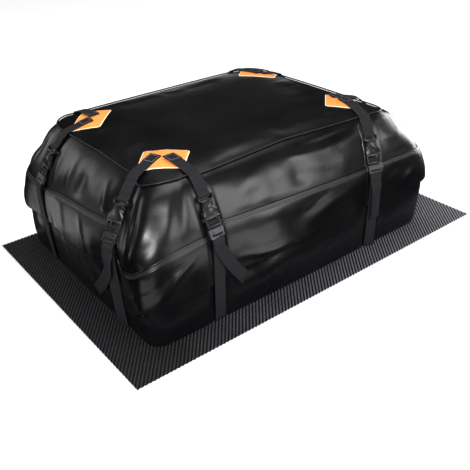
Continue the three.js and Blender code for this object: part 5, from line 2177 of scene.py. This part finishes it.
@dataclass
class Studio:
    """Plain white studio with soft boxes, and the camera."""

    eye: tuple[float, float, float] = (-1.2036, -1.6665, 1.1902)
    yaw: float = -36.99
    pitch: float = 30.67
    roll: float = -2.21
    lens: float = 49.45
    floor_reach: float = 9000
    boxes: tuple[Softbox, ...] = (
        Softbox("front_box", (1.0, -2.9, 1.25), (-0.1, -0.4, 0.38), (2.1, 1.3), 50),
        Softbox("corner_box", (-2.2, -1.85, 1.95), (-0.45, -0.35, 0.35), (1.2, 1.1), 90),
        Softbox("left_box", (-2.1, 1.7, 0.75), (-0.5, 0.1, 0.3), (0.9, 1.2), 1.4),
        Softbox("flap_card", (-0.12, -0.80, 0.11), (-0.32, -0.44, 0.24), (0.42, 0.14), 0.42, True),
        Softbox("corner_card", (-0.82, -0.57, 0.11), (-0.53, -0.39, 0.2), (0.5, 0.17), 0.24, True),
        Softbox("end_card", (-0.78, 0.36, 0.13), (-0.577, 0.0, 0.24), (0.3, 0.2), 0.2, True),
        Softbox("right_card", (1.9, -0.35, 0.55), (0.5, -0.35, 0.36), (1.0, 0.8), 24, True),
        Softbox("back_left_card", (-1.5, 2.7, 1.25), (-0.1, 0.4, 0.3), (1.6, 1.2), 10, True),
        Softbox("back_right_card", (1.6, 2.3, 0.45), (0.2, 0.4, 0.3), (1.4, 0.5), 1.6, True),
        Softbox("top_box", (0.2, 0.3, 3.4), (0, 0, 0.2), (2.6, 2.2), 70))

    def build(self) -> bpy.types.Object:
        """Builds floor, world, lights and camera.

        Returns:
            The floor.
        """
        for box in self.boxes:
            box.build()
        self._world()
        self._camera()
        bpy.context.scene.view_settings.view_transform = "Standard"
        return self._floor()

    def _floor(self) -> bpy.types.Object:
        """A pale floor that keeps the shadow and stays out of the fabric's reflections.

        Returns:
            The floor.
        """
        reach = self.floor_reach
        corners = [(-reach, -reach, 0), (reach, -reach, 0), (reach, reach, 0), (-reach, reach, 0)]
        floor = new_mesh_object("studio_floor", corners, [(0, 1, 2, 3)], smooth=False)
        material = bpy.data.materials.new("studio_floor")
        material.use_nodes = True
        graph = ShaderGraph(material.node_tree)
        graph.tree.nodes.clear()
        pale = graph.add("ShaderNodeBsdfDiffuse", {"Color": (0.82, 0.82, 0.83, 1)}).outputs[0]
        dark = graph.add("ShaderNodeBsdfDiffuse", {"Color": (0.004, 0.004, 0.004, 1)}).outputs[0]
        glow = graph.add("ShaderNodeEmission", {"Color": (1, 1, 1, 1), "Strength": 0.42}).outputs[0]
        seen = graph.add("ShaderNodeAddShader", {0: pale, 1: glow}).outputs[0]
        lit = graph.by_ray("Is Camera Ray", pale, seen)
        graph.add("ShaderNodeOutputMaterial", {"Surface": graph.by_ray("Is Glossy Ray", lit, dark)})
        floor.data.materials.append(material)
        return floor

    def _world(self) -> None:
        """White background for the camera, soft grey light for everything else."""
        world = bpy.data.worlds.new("studio")
        bpy.context.scene.world = world
        world.use_nodes = True
        graph = ShaderGraph(world.node_tree)
        graph.tree.nodes.clear()
        fill, glossy, white = (graph.add("ShaderNodeBackground", {"Color": (1, 1, 1, 1), "Strength": light})
                               .outputs[0] for light in (0.55, 0.02, 1.0))
        unseen = graph.by_ray("Is Glossy Ray", fill, glossy)
        graph.add("ShaderNodeOutputWorld", {"Surface": graph.by_ray("Is Camera Ray", unseen, white)})

    def _camera(self) -> None:
        """Adds the camera."""
        yaw, pitch, roll = (math.radians(v) for v in (self.yaw, self.pitch, self.roll))
        ahead = Vector((-math.sin(yaw) * math.cos(pitch), math.cos(yaw) * math.cos(pitch), -math.sin(pitch)))
        right = Vector((math.cos(yaw), math.sin(yaw), 0))
        up = right.cross(ahead)
        turned = right * math.cos(roll) + up * math.sin(roll)
        lifted = up * math.cos(roll) - right * math.sin(roll)
        camera = linked_object("camera", bpy.data.cameras.new("camera"))
        camera.data.lens = self.lens
        camera.data.sensor_width = 36
        basis = Matrix((turned, lifted, -ahead)).transposed().to_4x4()
        camera.matrix_world = Matrix.Translation(self.eye) @ basis
        bpy.context.scene.camera = camera


# The whole bag


BODY_FOLDS = (
    Fold(((-474, -268, 414), (-501, -294, 385), (-529, -315, 348), (-554, -325, 298), (-566, -315, 236)), 9, 5),
    Fold(((-481, -291, 406), (-531, -329, 344), (-563, -341, 273)), 12, -4.5),
    Fold(((-459, -313, 419), (-500, -348, 370), (-532, -372, 324), (-563, -362, 267)), 24, 5),
    Fold(((-514, -386, 332), (-558, -377, 273)), 20, -5),
    Fold(((-426, -351, 420), (-472, -408, 325)), 15, 2.4),
    Fold(((-390, -359, 425), (-431, -416, 313)), 13, 2.2),
    Fold(((-568, -296, 244), (-562, -330, 238), (-556, -366, 246)), 7, 4),
    Fold(((-490, -135, 400), (-532, -174, 347), (-560, -178, 334)), 13, 4),
    Fold(((-505, -20, 392), (-562, -10, 330)), 20, -3.5),
    Fold(((-495, 55, 398), (-562, 50, 324)), 17, 3.5),
    Fold(((-488, 150, 402), (-562, 138, 316)), 14, 3.5),
    Fold(((-18, -356, 430), (126, -364, 421), (244, -354, 431), (288, -345, 438)), 13, -4),
    Fold(((-10, -375, 409), (113, -378, 403), (251, -375, 404), (292, -362, 420)), 15, 3.5),
    Fold(((-309, -393, 359), (-180, -403, 362), (-4, -403, 358), (129, -411, 339)), 26, -3),
    Fold(((338, -352, 431), (400, -350, 425), (455, -325, 415)), 13, 4),
    Fold(((365, -369, 414), (430, -350, 405), (490, -300, 400)), 12, -4),
    Fold(((330, -390, 375), (440, -390, 370), (530, -330, 350)), 18, 4),
    Fold(((425, -422, 300), (520, -380, 322)), 16, -3),
    Fold(((430, -330, 420), (520, -290, 385), (560, -240, 350)), 60, 9),
    Fold(((-574, -17, 170), (-572, -44, 87), (-565, -65, 20)), 8, 5),
    Fold(((-572, 95, 167), (-570, 61, 103), (-566, 40, 30)), 13, 4),
    Fold(((-573, -100, 150), (-568, -120, 40)), 18, -4),
    Fold(((-571, -174, 127), (-565, -187, 29)), 10, 4),
    Fold(((-567, 300, 152), (-560, 262, 60)), 18, 4),
    Fold(((258, -430, 143), (252, -434, 90)), 24, 3),
    Fold(((-239, -431, 126), (-215, -432, 76)), 22, 3),
    Fold(((300, 366, 418), (120, 372, 408), (-90, 372, 412)), 16, 4),
    Fold(((240, 384, 388), (40, 392, 380), (-180, 386, 392)), 24, -3.5),
    Fold(((-440, 330, 420), (-500, 372, 350), (-556, 350, 300)), 18, 4.5),
    Fold(((-480, 290, 408), (-545, 320, 330)), 14, -4),
    Fold(((505, -90, 396), (560, -60, 338)), 18, 4),
    Fold(((500, 60, 400), (566, 40, 330)), 20, -3.5),
    Fold(((492, 150, 404), (562, 160, 326)), 14, 4),
    Fold(((440, 340, 420), (510, 372, 350), (566, 350, 306)), 20, 5),
    Fold(((585, -110, 150), (578, -90, 70), (566, -84, 24)), 14, 4),
    Fold(((582, 96, 150), (570, 120, 40)), 18, -4),
    Fold(((150, 436, 140), (120, 432, 50)), 20, 3.5),
    Fold(((-120, 437, 150), (-100, 432, 60)), 16, -3))
FLAP_FOLDS = (
    Fold(((-381, -421, 294), (-447, -421, 264), (-525, -411, 257), (-547, -400, 234), (-568, -328, 211)), 12, 5),
    Fold(((-381, -419, 275), (-480, -431, 225), (-526, -426, 179), (-564, -394, 138)), 13, 5.5),
    Fold(((-420, -428, 262), (-500, -430, 232), (-552, -410, 190), (-575, -350, 160)), 11, -4),
    Fold(((-281, -431, 202), (-154, -436, 183), (-60, -437, 185)), 12, 4.5),
    Fold(((-60, -430, 240), (20, -430, 275), (96, -426, 299)), 20, -4),
    Fold(((-20, -436, 215), (80, -434, 246), (190, -430, 262)), 16, 3.5),
    Fold(((440, -425, 200), (471, -431, 226), (530, -400, 262)), 14, 5),
    Fold(((340, -426, 226), (356, -426, 255), (430, -420, 272)), 15, -4),
    Fold(((-573, -135, 205), (-574, -193, 212)), 8, 3.5),
    Fold(((-577, 60, 300), (-578, 20, 196)), 13, 4),
    Fold(((-577, -60, 312), (-578, -112, 200)), 12, 4),
    Fold(((-577, 120, 290), (-578, 90, 190)), 16, -3),
    Fold(((250, 436, 290), (140, 440, 220), (90, 440, 180)), 14, 4),
    Fold(((-40, 440, 292), (-130, 441, 200)), 16, 4),
    Fold(((60, 440, 285), (10, 441, 190)), 14, -3),
    Fold(((590, -120, 290), (592, -70, 190)), 14, 4.5),
    Fold(((590, 60, 296), (592, 110, 186)), 16, 4),
    Fold(((530, 400, 290), (500, 425, 220), (430, 436, 180)), 14, 5),
    Fold(((-480, 425, 290), (-540, 405, 220), (-568, 360, 176)), 14, 5))


@dataclass
class CargoBag:
    """The bag with its flap, piping, patches, zip, mat and straps."""

    finishes: Finishes
    form: BagForm = field(default_factory=BagForm)

    def build(self) -> None:
        """Builds and dresses every piece."""
        finishes = self.finishes
        body = StuffedBody(self.form, BODY_FOLDS)
        shell = body.build()
        dress(shell, finishes.fabric, "coated_fabric", ROOT, "bag_body")
        log.info("bag shell: %d faces", len(shell.data.polygons))
        dress(StormFlapBand(body, FLAP_FOLDS).build(), finishes.flap, "flap_fabric", ROOT, "storm_flap")
        dress(SeamPiping(body).build(), finishes.piping, "piping", ROOT, "top_piping")
        dress(ZipBand(body).build(), finishes.zip_tape, "zip_tape", ROOT, "zip_chain")
        skin = BVHTree.FromObject(shell, bpy.context.evaluated_depsgraph_get())
        for end, x in (("left", -1), ("right", 1)):
            for face, y in (("front", -1), ("back", 1)):
                patch = CornerPatch(f"patch_{face}_{end}", x, y).build(skin)
                dress(patch, finishes.patch, "patch_fabric", ROOT, f"patch_{face}_{end}")
        for plan in STRAPS:
            BuckledStrap(plan).build(finishes)
        RoofMat().build(finishes)
        self._sliders()

    def _sliders(self) -> None:
        """Gives the zip's two packed sliders their material."""
        for end in ("left", "right"):
            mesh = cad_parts[f"zip_slider_{end}"].data
            mesh.materials.clear()
            mesh.materials.append(self.finishes.zip_metal)


def main() -> None:
    """Builds the bag and its studio; the bag's build logs the shell's face count."""
    logging.basicConfig(level=logging.INFO, format="%(name)s: %(message)s")
    CargoBag(Finishes.build()).build()
    Studio().build()


if __name__ == "__main__":
    main()
